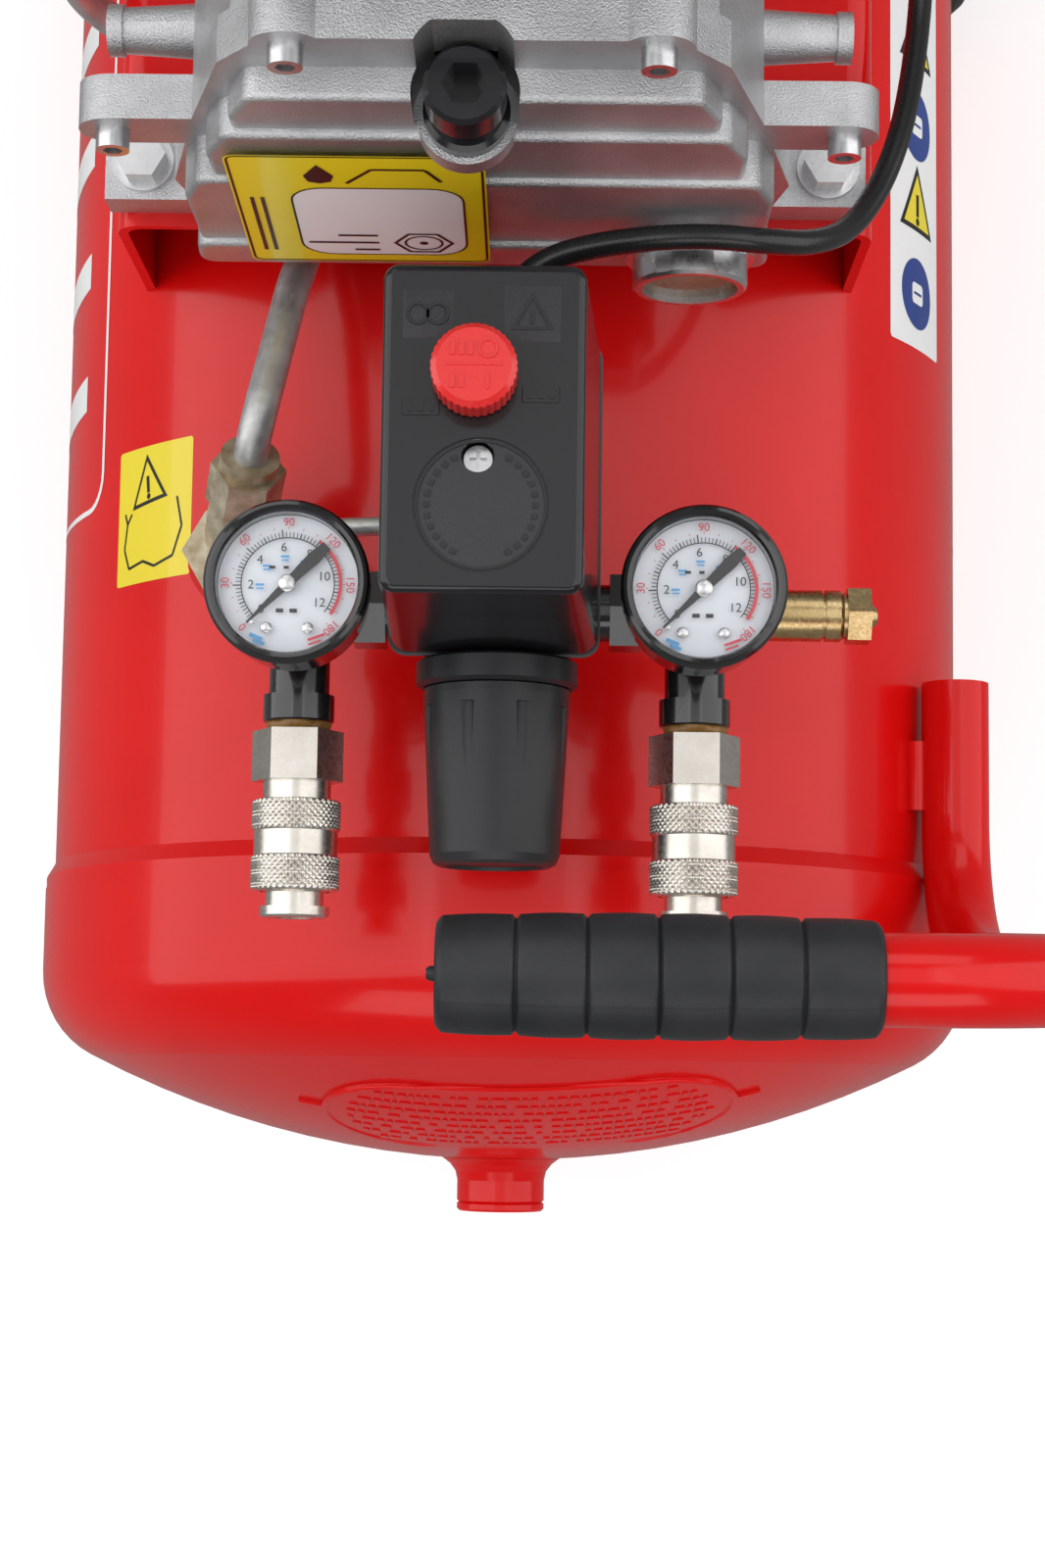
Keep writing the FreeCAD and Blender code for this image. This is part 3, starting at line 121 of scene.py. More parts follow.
def spread(tree, factor, low, high):
    """A value from low to high as the noise goes through its usual range."""
    span = tree.nodes.new("ShaderNodeMapRange")
    span.inputs["From Min"].default_value = FINE_RANGE[0]
    span.inputs["From Max"].default_value = FINE_RANGE[1]
    span.inputs["To Min"].default_value = low
    span.inputs["To Max"].default_value = high
    tree.links.new(factor, span.inputs["Value"])
    return span.outputs["Result"]


def bumped(tree, shader, height, distance, under=None):
    """Adds relief of the given depth, on top of the relief in under, and returns the new normal."""
    bump = tree.nodes.new("ShaderNodeBump")
    bump.inputs["Distance"].default_value = distance
    tree.links.new(height, bump.inputs["Height"])
    if under is not None:
        tree.links.new(under, bump.inputs["Normal"])
    tree.links.new(bump.outputs["Normal"], shader.inputs["Normal"])
    return bump.outputs["Normal"]


def finish_of(name, light, dark, rough, metal=0.0, specular=0.5, coat=0.0, coat_rough=0.05, patch=9.0,
              grain=400.0, depth=0.0, wave=0.0, wave_scale=60.0):
    """
    A finish of two close tones in soft patches, with roughness that varies over a fine grain.
    depth is the relief of the grain and wave that of a slow unevenness under it.
    """
    material, tree, shader = node_tree(name)
    patches = noise(tree, patch, 5.0)
    tree.links.new(blend_colours(tree, patches, dark, light), shader.inputs["Base Color"])
    fine = noise(tree, grain, 3.0)
    tree.links.new(spread(tree, fine, *rough), shader.inputs["Roughness"])
    shader.inputs["Metallic"].default_value = metal
    shader.inputs["Coat Weight"].default_value = coat
    shader.inputs["Coat Roughness"].default_value = coat_rough
    shader.inputs["Specular IOR Level"].default_value = specular
    slow = None
    if wave:
        slow = bumped(tree, shader, noise(tree, wave_scale, 1.0), wave)
    if depth:
        bumped(tree, shader, fine, depth, under=slow)
    return material


# Paint and castings
RED = finish_of("red_enamel", (0.72, 0.0045, 0.0045), (0.64, 0.003, 0.003), (0.18, 0.24), specular=0.24,
                coat=0.20, coat_rough=0.06, grain=300, wave=0.00010, wave_scale=38)
CAST = finish_of("cast_silver", (0.62, 0.62, 0.63), (0.48, 0.48, 0.49), (0.26, 0.44), metal=0.9, patch=40,
                 grain=1900, depth=0.00035, wave=0.0003, wave_scale=90)
MOTOR = finish_of("motor_enamel", (0.55, 0.56, 0.57), (0.47, 0.48, 0.49), (0.35, 0.5), metal=0.5, patch=30,
                  grain=1300, depth=0.00008)
ENAMEL = finish_of("black_enamel", (0.010, 0.010, 0.011), (0.006, 0.006, 0.007), (0.14, 0.22), coat=0.6,
                   coat_rough=0.05, grain=700, wave=0.00005, wave_scale=60)

# Plastics and rubber
BLACK_GLOSS = finish_of("black_moulding", (0.011, 0.011, 0.013), (0.008, 0.008, 0.010), (0.16, 0.24),
                        specular=0.4, coat=0.2, coat_rough=0.08, grain=900, depth=0.00001, wave=0.00005,
                        wave_scale=50)
BLACK_SPARK = finish_of("black_spark_texture", (0.032, 0.032, 0.035), (0.021, 0.021, 0.024), (0.45, 0.7),
                        grain=2600, depth=0.0002)
BLACK_MATTE = finish_of("black_plastic", (0.018, 0.019, 0.021), (0.012, 0.013, 0.015), (0.36, 0.48),
                        specular=0.4, grain=1800, depth=0.00003)
GREY = finish_of("grey_plastic", (0.10, 0.10, 0.105), (0.075, 0.075, 0.08), (0.35, 0.5), grain=1200,
                 depth=0.00003)
KNOB_RED = finish_of("red_plastic", (0.78, 0.020, 0.018), (0.70, 0.015, 0.014), (0.24, 0.36), coat=0.3,
                     grain=900, depth=0.00002)
RUBBER = finish_of("grip_rubber", (0.020, 0.021, 0.024), (0.012, 0.013, 0.015), (0.40, 0.56), specular=0.4,
                   patch=60, grain=2400, depth=0.00005)
TYRE = finish_of("tyre_rubber", (0.03, 0.03, 0.03), (0.02, 0.02, 0.02), (0.6, 0.8), grain=900, depth=0.0001)
SHEATH = finish_of("lead_sheath", (0.012, 0.012, 0.013), (0.008, 0.008, 0.009), (0.22, 0.34), grain=1500,
                   depth=0.00002)
SEALANT = finish_of("thread_sealant", (0.34, 0.17, 0.04), (0.16, 0.07, 0.02), (0.25, 0.5), grain=900,
                    depth=0.0002)

# Bare metals
DRAWN = finish_of("drawn_aluminium", (0.62, 0.62, 0.62), (0.42, 0.42, 0.41), (0.35, 0.6), metal=0.8,
                  patch=70, grain=500, depth=0.00006)
ZINC = finish_of("bright_zinc", (0.72, 0.72, 0.73), (0.62, 0.62, 0.63), (0.26, 0.36), metal=1.0, patch=110,
                 grain=900, depth=0.000004)
NICKEL = finish_of("nickel", (0.74, 0.70, 0.64), (0.64, 0.60, 0.54), (0.24, 0.34), metal=1.0, patch=120,
                   grain=800, depth=0.000006)
BRASS = finish_of("brass", (0.64, 0.48, 0.25), (0.50, 0.35, 0.16), (0.2, 0.36), metal=1.0, patch=180,
                  grain=1100, depth=0.00004)
OLD_BRASS = finish_of("weathered_brass", (0.62, 0.55, 0.42), (0.38, 0.30, 0.19), (0.32, 0.6), metal=0.7,
                      patch=150, grain=900, depth=0.0001)
STEEL = finish_of("steel", (0.50, 0.50, 0.52), (0.38, 0.38, 0.40), (0.25, 0.4), metal=1.0, patch=120,
                  grain=700, depth=0.00003)
COPPER = finish_of("windings", (0.45, 0.22, 0.10), (0.32, 0.15, 0.07), (0.3, 0.5), metal=0.8, grain=900,
                   depth=0.0002)

# Dials and labels
DIAL = finish_of("dial_white", (0.84, 0.87, 0.93), (0.81, 0.84, 0.91), (0.35, 0.45), grain=500)
DARK = finish_of("pointer_black", (0.010, 0.010, 0.010), (0.006, 0.006, 0.006), (0.3, 0.4), grain=500)
CYAN = finish_of("dial_blue", (0.10, 0.42, 0.80), (0.08, 0.36, 0.72), (0.35, 0.45), grain=500)
INK_RED = finish_of("dial_red", (0.78, 0.04, 0.07), (0.70, 0.03, 0.06), (0.35, 0.45), grain=500)
YELLOW = finish_of("label_yellow", (0.86, 0.70, 0.01), (0.80, 0.64, 0.008), (0.3, 0.4), coat=0.3, grain=700)
WHITE = finish_of("label_white", (0.88, 0.88, 0.88), (0.82, 0.82, 0.82), (0.3, 0.4), coat=0.3, grain=700)
BLUE = finish_of("label_blue", (0.006, 0.045, 0.28), (0.005, 0.035, 0.23), (0.3, 0.4), coat=0.3, grain=700)


def glass(name, tint, alpha):
    """Thin clear or tinted window with a faint haze."""
    material, tree, shader = node_tree(name)
    haze = noise(tree, 120, 3.0)
    tree.links.new(blend_colours(tree, haze, [c * 0.94 for c in tint], tint), shader.inputs["Base Color"])
    tree.links.new(spread(tree, noise(tree, 500, 2.0), 0.01, 0.05), shader.inputs["Roughness"])
    shader.inputs["Alpha"].default_value = alpha
    shader.inputs["IOR"].default_value = 1.45
    return material


CLEAR = glass("gauge_glass", (0.95, 0.97, 0.98), 0.03)
OIL_GLASS = glass("oil_glass", (0.42, 0.30, 0.18), 0.55)

NODE_FINISH = {
    RED: ["tank_shell", "tank_heads", "data_plate", "tank_sockets", "pump_platform", "tank_brackets",
          "handle_tube"],
    RUBBER: ["handle_grip", "front_feet"],
    TYRE: ["left_wheel_tyre", "right_wheel_tyre"],
    GREY: ["left_wheel_rim", "right_wheel_rim", "cooling_fan", "switch_base", "switch_contacts"],
    ZINC: ["foot_bolts", "machine_screws", "sight_glass_ring", "wheel_axle"],
    CAST: ["crankcase", "crankcase_cover", "cylinder", "cylinder_head", "motor_end_shield",
           "connecting_rod", "piston"],
    MOTOR: ["motor_housing"],
    STEEL: ["crankshaft", "valve_plate", "rotor", "motor_bearings"],
    COPPER: ["stator"],
    BLACK_GLOSS: ["switch_cover", "oil_filler_plug"],
    BLACK_MATTE: ["air_filter", "fan_cover", "capacitor_box", "cable_glands", "regulator_body",
                  "regulator_knob"],
    ENAMEL: ["manifold", "gauge_cases"],
    BRASS: ["drain_valve_body", "drain_valve_knob", "safety_valve", "gauge_movements"],
    OLD_BRASS: ["check_valve"],
    DRAWN: ["delivery_tube", "unloader_tube"],
    NICKEL: ["coupler_bodies", "left_coupler_sleeve", "right_coupler_sleeve"],
    DIAL: ["gauge_dials"],
    DARK: ["left_gauge_pointer", "right_gauge_pointer"],
    KNOB_RED: ["switch_knob"],
    CLEAR: ["gauge_lenses"],
    OIL_GLASS: ["sight_glass_lens"],
    SHEATH: ["motor_lead"],
}
for finish, names in NODE_FINISH.items():
    for name in names:
        NODES[name].data.materials.clear()
        NODES[name].data.materials.append(finish)


# ---------------------------------------------------------------- mesh helpers

def keep(name, bm, finish, body="root", smooth_angle=35):
    """Makes the finished piece from a bmesh, rides it on a body and shades its soft edges smooth."""
    mesh = bpy.data.meshes.new(name)
    bmesh.ops.recalc_face_normals(bm, faces=bm.faces)
    bm.to_mesh(mesh)
    bm.free()
    piece = bpy.data.objects.new(name, mesh)
    bpy.context.scene.collection.objects.link(piece)
    mesh.materials.append(finish)
    mesh.shade_smooth()
    mesh.set_sharp_from_angle(angle=math.radians(smooth_angle))
    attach(piece, body)
    return piece


UPWARDS = (0, 0, 1)
FORWARDS = (0, -1, 0)


def axes_for(axis):
    """Rotation that takes +Z to axis."""
    return Vector(UPWARDS).rotation_difference(Vector(axis)).to_matrix().to_4x4()


def lathe(bm, profile, origin, axis, segments=96, radius_at=None):
    """Surface of revolution through (along, radius) points, shaped by radius_at(along, radius, angle)."""
    place = Matrix.Translation(origin) @ axes_for(axis)
    rings = []
    for along, radius in profile:
        ring = []
        for i in range(segments):
            angle = 2 * math.pi * i / segments
            r = radius if radius_at is None else radius_at(along, radius, angle)
            ring.append(bm.verts.new(place @ Vector((r * math.cos(angle), r * math.sin(angle), along))))
        rings.append(ring)
    for ring, following in zip(rings, rings[1:]):
        for i in range(segments):
            j = (i + 1) % segments
            bm.faces.new((ring[i], ring[j], following[j], following[i]))


def spline_piece(name, points, radius, finish):
    """Round tube along a smooth line with the points as its control points."""
    curve = bpy.data.curves.new(name, "CURVE")
    curve.dimensions = "3D"
    curve.bevel_depth = radius
    curve.bevel_resolution = 6
    curve.resolution_u = 12
    curve.use_fill_caps = True
    spline = curve.splines.new("NURBS")
    spline.points.add(len(points) - 1)
    for control, point in zip(spline.points, points):
        control.co = (*point, 1)
    spline.order_u = 3
    spline.use_endpoint_u = True
    piece = bpy.data.objects.new(name, curve)
    bpy.context.scene.collection.objects.link(piece)
    curve.materials.append(finish)
    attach(piece, "root")
    return piece


# ---------------------------------------------------------------- motor lead

LEAD_RADIUS = 0.0035
LEAD_ROUTE = [
    (0.004, 0.15, 0.212), (0.004, 0.157, 0.212), (0.012, 0.1635, 0.2135), (0.024, 0.166, 0.218),
    (0.04, 0.1665, 0.224), (0.057, 0.1665, 0.2265), (0.073, 0.166, 0.2235), (0.087, 0.1695, 0.212),
    (0.098, 0.1785, 0.197), (0.107, 0.193, 0.187), (0.114, 0.211, 0.18), (0.119, 0.233, 0.171),
    (0.123, 0.26, 0.161), (0.1245, 0.288, 0.158), (0.1215, 0.316, 0.165), (0.114, 0.341, 0.184),
    (0.105, 0.358, 0.202), (0.1, 0.374, 0.212), (0.1, 0.389, 0.212),
]


def add_motor_lead():
    points = [at(*place) for place in LEAD_ROUTE]
    lead = spline_piece("motor_lead_sheath", points, LEAD_RADIUS, SHEATH)
    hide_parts("motor_lead")


add_motor_lead()


# ---------------------------------------------------------------- flat prints

# Prints are stacked in layers this far apart
LIFT = 0.00006
BEND_STEP = 0.003


def rotated(points, turn):
    c, s = math.cos(turn), math.sin(turn)
    return [(x * c - y * s, x * s + y * c) for x, y in points]


def shifted(points, dx, dy):
    return [(x + dx, y + dy) for x, y in points]


def rectangle(width, height, corner=0.0):
    """Outline of a rectangle about the origin, with rounded corners if corner is given."""
    if not corner:
        x, y = width / 2, height / 2
        return [(-x, -y), (x, -y), (x, y), (-x, y)]
    outline = []
    for sx, sy, start in ((1, 1, 0), (-1, 1, 90), (-1, -1, 180), (1, -1, 270)):
        for step in range(7):
            a = math.radians(start + 15 * step)
            outline.append((sx * (width / 2 - corner) + corner * math.cos(a),
                            sy * (height / 2 - corner) + corner * math.sin(a)))
    return outline


def regular(sides, radius, turn=0.0):
    angles = [turn + 2 * math.pi * i / sides for i in range(sides)]
    return [(radius * math.cos(a), radius * math.sin(a)) for a in angles]


def join(bm, ring, following):
    """Strip of faces between two closed rings of vertices."""
    for i in range(len(ring)):
        j = (i + 1) % len(ring)
        bm.faces.new((ring[i], ring[j], following[j], following[i]))


def fill(bm, outline, lift=LIFT):
    bm.faces.new([bm.verts.new((x, y, lift)) for x, y in outline])


def band(bm, outer, inner, lift=LIFT):
    """Strip between two outlines with the same number of points."""
    join(bm, [bm.verts.new((x, y, lift)) for x, y in outer], [bm.verts.new((x, y, lift)) for x, y in inner])


def line(bm, points, width, lift=LIFT):
    """Open stroke through the points."""
    for (ax, ay), (bx, by) in zip(points, points[1:]):
        length = math.hypot(bx - ax, by - ay)
        nx, ny = -(by - ay) / length * width / 2, (bx - ax) / length * width / 2
        fill(bm, [(ax - nx, ay - ny), (bx - nx, by - ny), (bx + nx, by + ny), (ax + nx, ay + ny)], lift)


def glyphs(bm, text, size, place, turn=0.0):
    """Flat characters centred on a place."""
    curve = bpy.data.curves.new("glyphs", "FONT")
    curve.body = text
    curve.size = size
    curve.align_x = "CENTER"
    curve.align_y = "CENTER"
    holder = bpy.data.objects.new("glyphs", curve)
    bpy.context.scene.collection.objects.link(holder)
    flat = bpy.data.meshes.new_from_object(holder)
    bpy.data.objects.remove(holder)
    flat.transform(Matrix.Translation((*place, LIFT)) @ Matrix.Rotation(turn, 4, "Z"))
    bm.from_mesh(flat)
    bpy.data.meshes.remove(flat)


def laid_on(bm, origin, right, up):
    """Moves a flat print so that its X and Y run along right and up from origin."""
    right = Vector(right).normalized()
    up = Vector(up).normalized()
    turn = Matrix((right, up, right.cross(up))).transposed().to_4x4()
    bm.transform(Matrix.Translation(origin) @ turn)


def wrapped_on_tank(bm, angle, back):
    """Bends a flat print round the tank: its X goes round, its Y goes back, about a place on the shell."""
    xs = [v.co.x for v in bm.verts]
    cut = min(xs) + BEND_STEP
    while cut < max(xs):
        geometry = bm.verts[:] + bm.edges[:] + bm.faces[:]
        bmesh.ops.bisect_plane(bm, geom=geometry, plane_co=(cut, 0, 0), plane_no=(1, 0, 0))
        cut += BEND_STEP
    for v in bm.verts:
        turn = math.radians(angle) + v.co.x / TANK_R
        reach = TANK_R + v.co.z
        v.co = at(reach * math.sin(turn), back + v.co.y, reach * math.cos(turn))


# ---------------------------------------------------------------- gauges

SWEEP_START = math.radians(225)
SWEEP = math.radians(270)
PSI_FULL = 180.0
PSI_PER_BAR = 14.22
SCALE_R = 0.01235
TICK_FOOT = 0.0124
OUTER_SHORT = 0.0139
OUTER_LONG = 0.0146
TICK_FINE = 0.00022
TICK_WIDE = 0.00034
DIAL_UP = 0.0032
DIAL_SCREW_X = 0.0055
DIAL_SCREW_DOWN = 0.0118


def dial_angle(psi):
    return SWEEP_START - SWEEP * psi / PSI_FULL


def polar(radius, angle):
    return (radius * math.cos(angle), radius * math.sin(angle))


def arc(radius, start, end, steps=48):
    return [polar(radius, start + (end - start) * i / steps) for i in range(steps + 1)]


def tick(bm, angle, inner, outer, width):
    line(bm, [polar(inner, angle), polar(outer, angle)], width)


def tick_length(tenth):
    return OUTER_LONG if tenth % 20 == 0 else OUTER_SHORT


def tick_width(tenth):
    return TICK_WIDE if tenth % 10 == 0 else TICK_FINE


def black_print():
    """The inner scale in bar, with plain dashes where a dial has its words."""
    bm = bmesh.new()
    for tenth in range(0, 122, 2):
        tick(bm, dial_angle(tenth / 10 * PSI_PER_BAR), TICK_FOOT, tick_length(tenth), tick_width(tenth))
    line(bm, arc(SCALE_R, dial_angle(0), dial_angle(12.3 * PSI_PER_BAR)), 0.0003)
    for number in range(0, 14, 2):
        glyphs(bm, str(number), 0.0034, polar(0.0098, dial_angle(number * PSI_PER_BAR)))
    for start, end in ((-0.0050, -0.0034), (-0.0012, 0.0002), (0.0030, 0.0045)):
        line(bm, [(start, 0.0044), (end, 0.0044)], 0.0008)
    for start, end in ((-0.0030, -0.0010), (0.0006, 0.0026)):
        line(bm, [(start, -0.0072), (end, -0.0072)], 0.0011)
    return bm


def red_print():
    """The outer scale in psi, the red arc and two dashes for its unit."""
    bm = bmesh.new()
    for psi in range(0, 181, 10):
        tick(bm, dial_angle(psi), 0.0147, 0.0153, 0.0002)
    for psi in range(0, 181, 30):
        glyphs(bm, str(psi), 0.0031, polar(0.0165, dial_angle(psi)), turn=dial_angle(psi) - math.pi / 2)
    line(bm, arc(0.0140, dial_angle(8 * PSI_PER_BAR), dial_angle(12.2 * PSI_PER_BAR)), 0.0009, 2 * LIFT)
    line(bm, [(0.0056, -0.0150), (0.0100, -0.0134)], 0.0007)
    line(bm, [(0.0058, -0.0162), (0.0092, -0.0150)], 0.0005)
    return bm


def blue_print():
    """Small blue dashes inside the bar numbers and two for their unit."""
    bm = bmesh.new()
    for number in (2, 4, 6, 8):
        x, y = polar(0.0074, dial_angle(number * PSI_PER_BAR))
        line(bm, [(x - 0.0011, y), (x + 0.0011, y)], 0.0006)
        line(bm, [(x - 0.0009, y - 0.001), (x + 0.001, y - 0.001)], 0.0004)
    line(bm, [(-0.0098, -0.0136), (-0.0064, -0.0150)], 0.0010)
    line(bm, [(-0.0088, -0.0152), (-0.0058, -0.0162)], 0.0008)
    return bm


def add_dial(side, label):
    dial_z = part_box("gauge_movements")[1].z + DIAL_UP
    centre = Vector((GAUGE_X * side, FRONT_JOINT_Y + MANIFOLD_BACK, dial_z))
    for name, bm, finish in (("black", black_print(), DARK), ("red", red_print(), INK_RED),
                             ("blue", blue_print(), CYAN)):
        bm.transform(Matrix.Translation(centre))
        keep(label + "_dial_" + name + "_print", bm, finish)
    screws = bmesh.new()
    for x in (-DIAL_SCREW_X, DIAL_SCREW_X):
        lathe(screws, [(0, 0.0015), (0.0004, 0.0015), (0.0007, 0.0011), (0.0008, 0.0001)],
              centre + Vector((x, -DIAL_SCREW_DOWN, 0)), UPWARDS, 24)
    lathe(screws, [(0, 0.0005), (0.0012, 0.0005), (0.0013, 0.0001)],
          centre + Vector((*polar(0.0141, dial_angle(-2.5)), 0)), UPWARDS, 16)
    keep(label + "_dial_screws", screws, ZINC)
    cap = bmesh.new()
    pointer_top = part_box(label + "_gauge_pointer")[1].z
    lathe(cap, [(-0.0004, 0.0023), (0.0002, 0.0023), (0.0005, 0.0019), (0.0006, 0.0001)],
          Vector((centre.x, centre.y, pointer_top)), UPWARDS, 32)
    keep(label + "_pointer_cap", cap, ZINC, label + "_pointer")


for side, label in ((-1, "left"), (1, "right")):
    add_dial(side, label)


# ---------------------------------------------------------------- quick couplers

KNURL_DEPTH = 0.00060
KNURL_COUNT = 40
KNURL_PITCH = 0.0018
KNURL_BANDS = ((0.0008, 0.0080), (0.0161, 0.0244))
KNURL_SHARPNESS = 1.6
KNURL_STEPS = 30
SLEEVE_R = 0.01235
SEAL_BACK = 0.0366


def knurled(along, radius, angle):
    """Diamond knurl: pyramids where two sets of slanted grooves cross."""
    if not any(low <= along <= high for low, high in KNURL_BANDS):
        return radius
    turns = angle * KNURL_COUNT / (2 * math.pi)
    slant = along / KNURL_PITCH
    ridges = [abs((turns + sign * slant) % 1 - 0.5) * 2 for sign in (-1, 1)]
    return radius - KNURL_DEPTH * max(ridges) ** KNURL_SHARPNESS


def add_sleeve(label):
    """Release sleeve with two knurled bands either side of a plain waist."""
    low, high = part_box(label + "_coupler_sleeve")
    start = Vector(((low.x + high.x) / 2, high.y, (low.z + high.z) / 2))
    bands = [[(first + (last - first) * i / KNURL_STEPS, SLEEVE_R) for i in range(KNURL_STEPS + 1)]
             for first, last in KNURL_BANDS]
    rear_lip = [(0.0, 0.0096), (0.0, 0.0112), (0.0003, 0.0119), (0.0008, 0.0122)]
    waist = [(0.0083, 0.0120), (0.0087, 0.0116), (0.0154, 0.0116), (0.0157, 0.0120)]
    front_lip = [(0.0248, 0.0119), (0.0252, 0.0112), (0.0252, 0.0096)]
    profile = rear_lip + bands[0] + waist + bands[1] + front_lip
    bm = bmesh.new()
    lathe(bm, profile, start, FORWARDS, KNURL_COUNT * 8, knurled)
    sleeve = keep(label + "_knurled_sleeve", bm, NICKEL, label + "_sleeve", 25)
    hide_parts(label + "_coupler_sleeve")


def add_thread_seal(side, label):
    """Uneven ring of sealant squeezed out where the coupler screws into the manifold."""
    def lumpy(along, radius, angle):
        return radius + 0.0003 * math.sin(5 * angle + 900 * along) + 0.0002 * math.sin(11 * angle)
    bm = bmesh.new()
    start = at(GAUGE_X * side, SEAL_BACK, MANIFOLD_UP)
    lathe(bm, [(0, 0.0079), (0.0004, 0.0086), (0.0012, 0.0089), (0.0022, 0.0087), (0.0031, 0.0080)],
          start, FORWARDS, 64, lumpy)
    keep(label + "_thread_seal", bm, SEALANT)


for side, label in ((-1, "left"), (1, "right")):
    add_sleeve(label)
    add_thread_seal(side, label)


# ---------------------------------------------------------------- handle grip

GRIP_LENGTH = 0.0995
GRIP_END_BAND = 0.0179
GRIP_GROOVES = 5
GRIP_R = 0.01300
GRIP_BARREL = 0.00095
BAND_SWELL = 0.0003
GROOVE_DEPTH = 0.0009
GROOVE_HALF = 0.0005
END_DROP = 0.0015
END_ROUND = 0.0018
GRIP_STEPS = 330
SEAM_UP = 0.00012


def grip_radius(along, edges):
    """Barrel with softly swollen bands, pinched at each groove and rounded at both ends."""
    body = GRIP_R + GRIP_BARREL * math.sin(math.pi * along / GRIP_LENGTH)
    for low, high in zip(edges, edges[1:]):
        if low <= along <= high:
            body += BAND_SWELL * math.sin(math.pi * (along - low) / (high - low))
            break
    pinch = min(abs(along - groove) for groove in edges[1:-1])
    end = min(along, GRIP_LENGTH - along)
    groove = GROOVE_DEPTH * math.exp(-(pinch / GROOVE_HALF) ** 2)
    return body - groove - END_DROP * max(0.0, 1 - end / END_ROUND) ** 2


def add_grip():
    """Soft rubber grip with six bands between five grooves, a moulding line and a small nub."""
    low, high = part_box("handle_grip")
    pitch = (GRIP_LENGTH - 2 * GRIP_END_BAND) / (GRIP_GROOVES - 1)
    edges = [0] + [GRIP_END_BAND + pitch * i for i in range(GRIP_GROOVES)] + [GRIP_LENGTH]
    start = Vector((high.x - GRIP_LENGTH, (low.y + high.y) / 2, (low.z + high.z) / 2))
    profile = [(0, 0.0002)]
    for i in range(GRIP_STEPS + 1):
        along = GRIP_LENGTH * i / GRIP_STEPS
        profile.append((along, grip_radius(along, edges)))
    profile.append((GRIP_LENGTH, 0.0107))

    def seamed(along, radius, angle):
        near_seam = abs(math.sin(angle - 0.5)) < 0.025
        return radius + (SEAM_UP if near_seam and radius > 0.0115 else 0)
    bm = bmesh.new()
    lathe(bm, profile, start, (1, 0, 0), 160, seamed)
    lathe(bm, [(-0.0022, 0.0001), (-0.0022, 0.0012), (-0.0014, 0.0017), (0.0002, 0.0018)],
          start, (1, 0, 0), 24)
    grip = keep("soft_grip", bm, RUBBER, "root", 40)
    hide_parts("handle_grip")


add_grip()


# ---------------------------------------------------------------- pressure switch

SWITCH_TOP_UP = 0.280
TAPER = 0.96
PANEL_BACK = 0.1284
DISC_X = -0.003
DISC_BACK = 0.080
DISC_UP = SWITCH_TOP_UP - 0.0004
DISC_R = 0.01685
DISC_MARK_R = 0.0136
DISC_MARKS = 30
MARK_UP = 0.0003


def raised(bm, outline, base, height):
    """Small flat-topped plateau with sloped sides, on a level surface."""
    low = [bm.verts.new(base + Vector((x, y, 0))) for x, y in outline]
    high = [bm.verts.new(base + Vector((x * TAPER, y * TAPER, height))) for x, y in outline]
    bm.faces.new(high)
    join(bm, low, high)


def raised_ring(bm, profile, base, segments=40):
    lathe(bm, profile, base, UPWARDS, segments)


def add_switch_panels():
    """Spark-textured panels on the cover and round the screw's well in the sunk disc."""
    panels = bmesh.new()
    raised(panels, rectangle(0.0125, 0.0125, 0.0004), at(-0.0169, PANEL_BACK, SWITCH_TOP_UP), 0.00012)
    raised(panels, rectangle(0.0140, 0.0145, 0.0004), at(0.0092, 0.1287, SWITCH_TOP_UP), 0.00012)
    centre = at(DISC_X, DISC_BACK, DISC_UP)
    well = shifted(regular(96, 0.0042), centre.x - 0.001, centre.y + 0.0125)
    band(panels, shifted(regular(96, DISC_R), centre.x, centre.y), well, centre.z)
    keep("switch_panels", panels, BLACK_SPARK)


def add_panel_marks(marks):
    """Two rings on the left panel and a warning triangle on the right one."""
    for x in (-0.0195, -0.0145):
        raised_ring(marks, [(0, 0.0030), (0.0003, 0.0029), (0.0003, 0.0022), (0, 0.0021)],
                    at(x, PANEL_BACK, SWITCH_TOP_UP + 0.0001))
    centre = at(0.0092, 0.1276, SWITCH_TOP_UP + 0.0001)
    outer = shifted(regular(3, 0.0062, math.pi / 2), centre.x, centre.y)
    inner = shifted(regular(3, 0.0048, math.pi / 2), centre.x, centre.y)
    band(marks, outer, inner, centre.z + MARK_UP)
    raised(marks, rectangle(0.0008, 0.0034, 0.0002), centre + Vector((0, 0.0001, 0)), MARK_UP)


def add_switch_marks():
    """Marks on the panels, the two position tabs and the ring of dashes on the sunk disc."""
    marks = bmesh.new()
    add_panel_marks(marks)
    for x, back in ((-0.0184, 0.1045), (0.0115, 0.1080)):
        raised(marks, rectangle(0.0095, 0.0042, 0.0006), at(x, back, SWITCH_TOP_UP), MARK_UP)
        for dx in (-0.0028, 0.0, 0.0028):
            dash_at = at(x + dx, back, SWITCH_TOP_UP + MARK_UP)
            raised(marks, rectangle(0.0016, 0.0022, 0.0003), dash_at, MARK_UP)
    for i in range(DISC_MARKS):
        if i % 15 in (6, 7, 8, 9):
            continue
        angle = 2 * math.pi * i / DISC_MARKS
        x, y = polar(DISC_MARK_R, angle)
        mark = rotated(rectangle(0.0016, 0.0014, 0.0002), angle + math.pi / 2)
        raised(marks, mark, at(DISC_X + x, DISC_BACK + y, DISC_UP), MARK_UP)
    raised_ring(marks, [(0, 0.0165), (0.0003, 0.0164), (0.0003, 0.0158), (0, 0.0157)],
                at(DISC_X, DISC_BACK, DISC_UP), 96)
    keep("switch_marks", marks, BLACK_GLOSS)


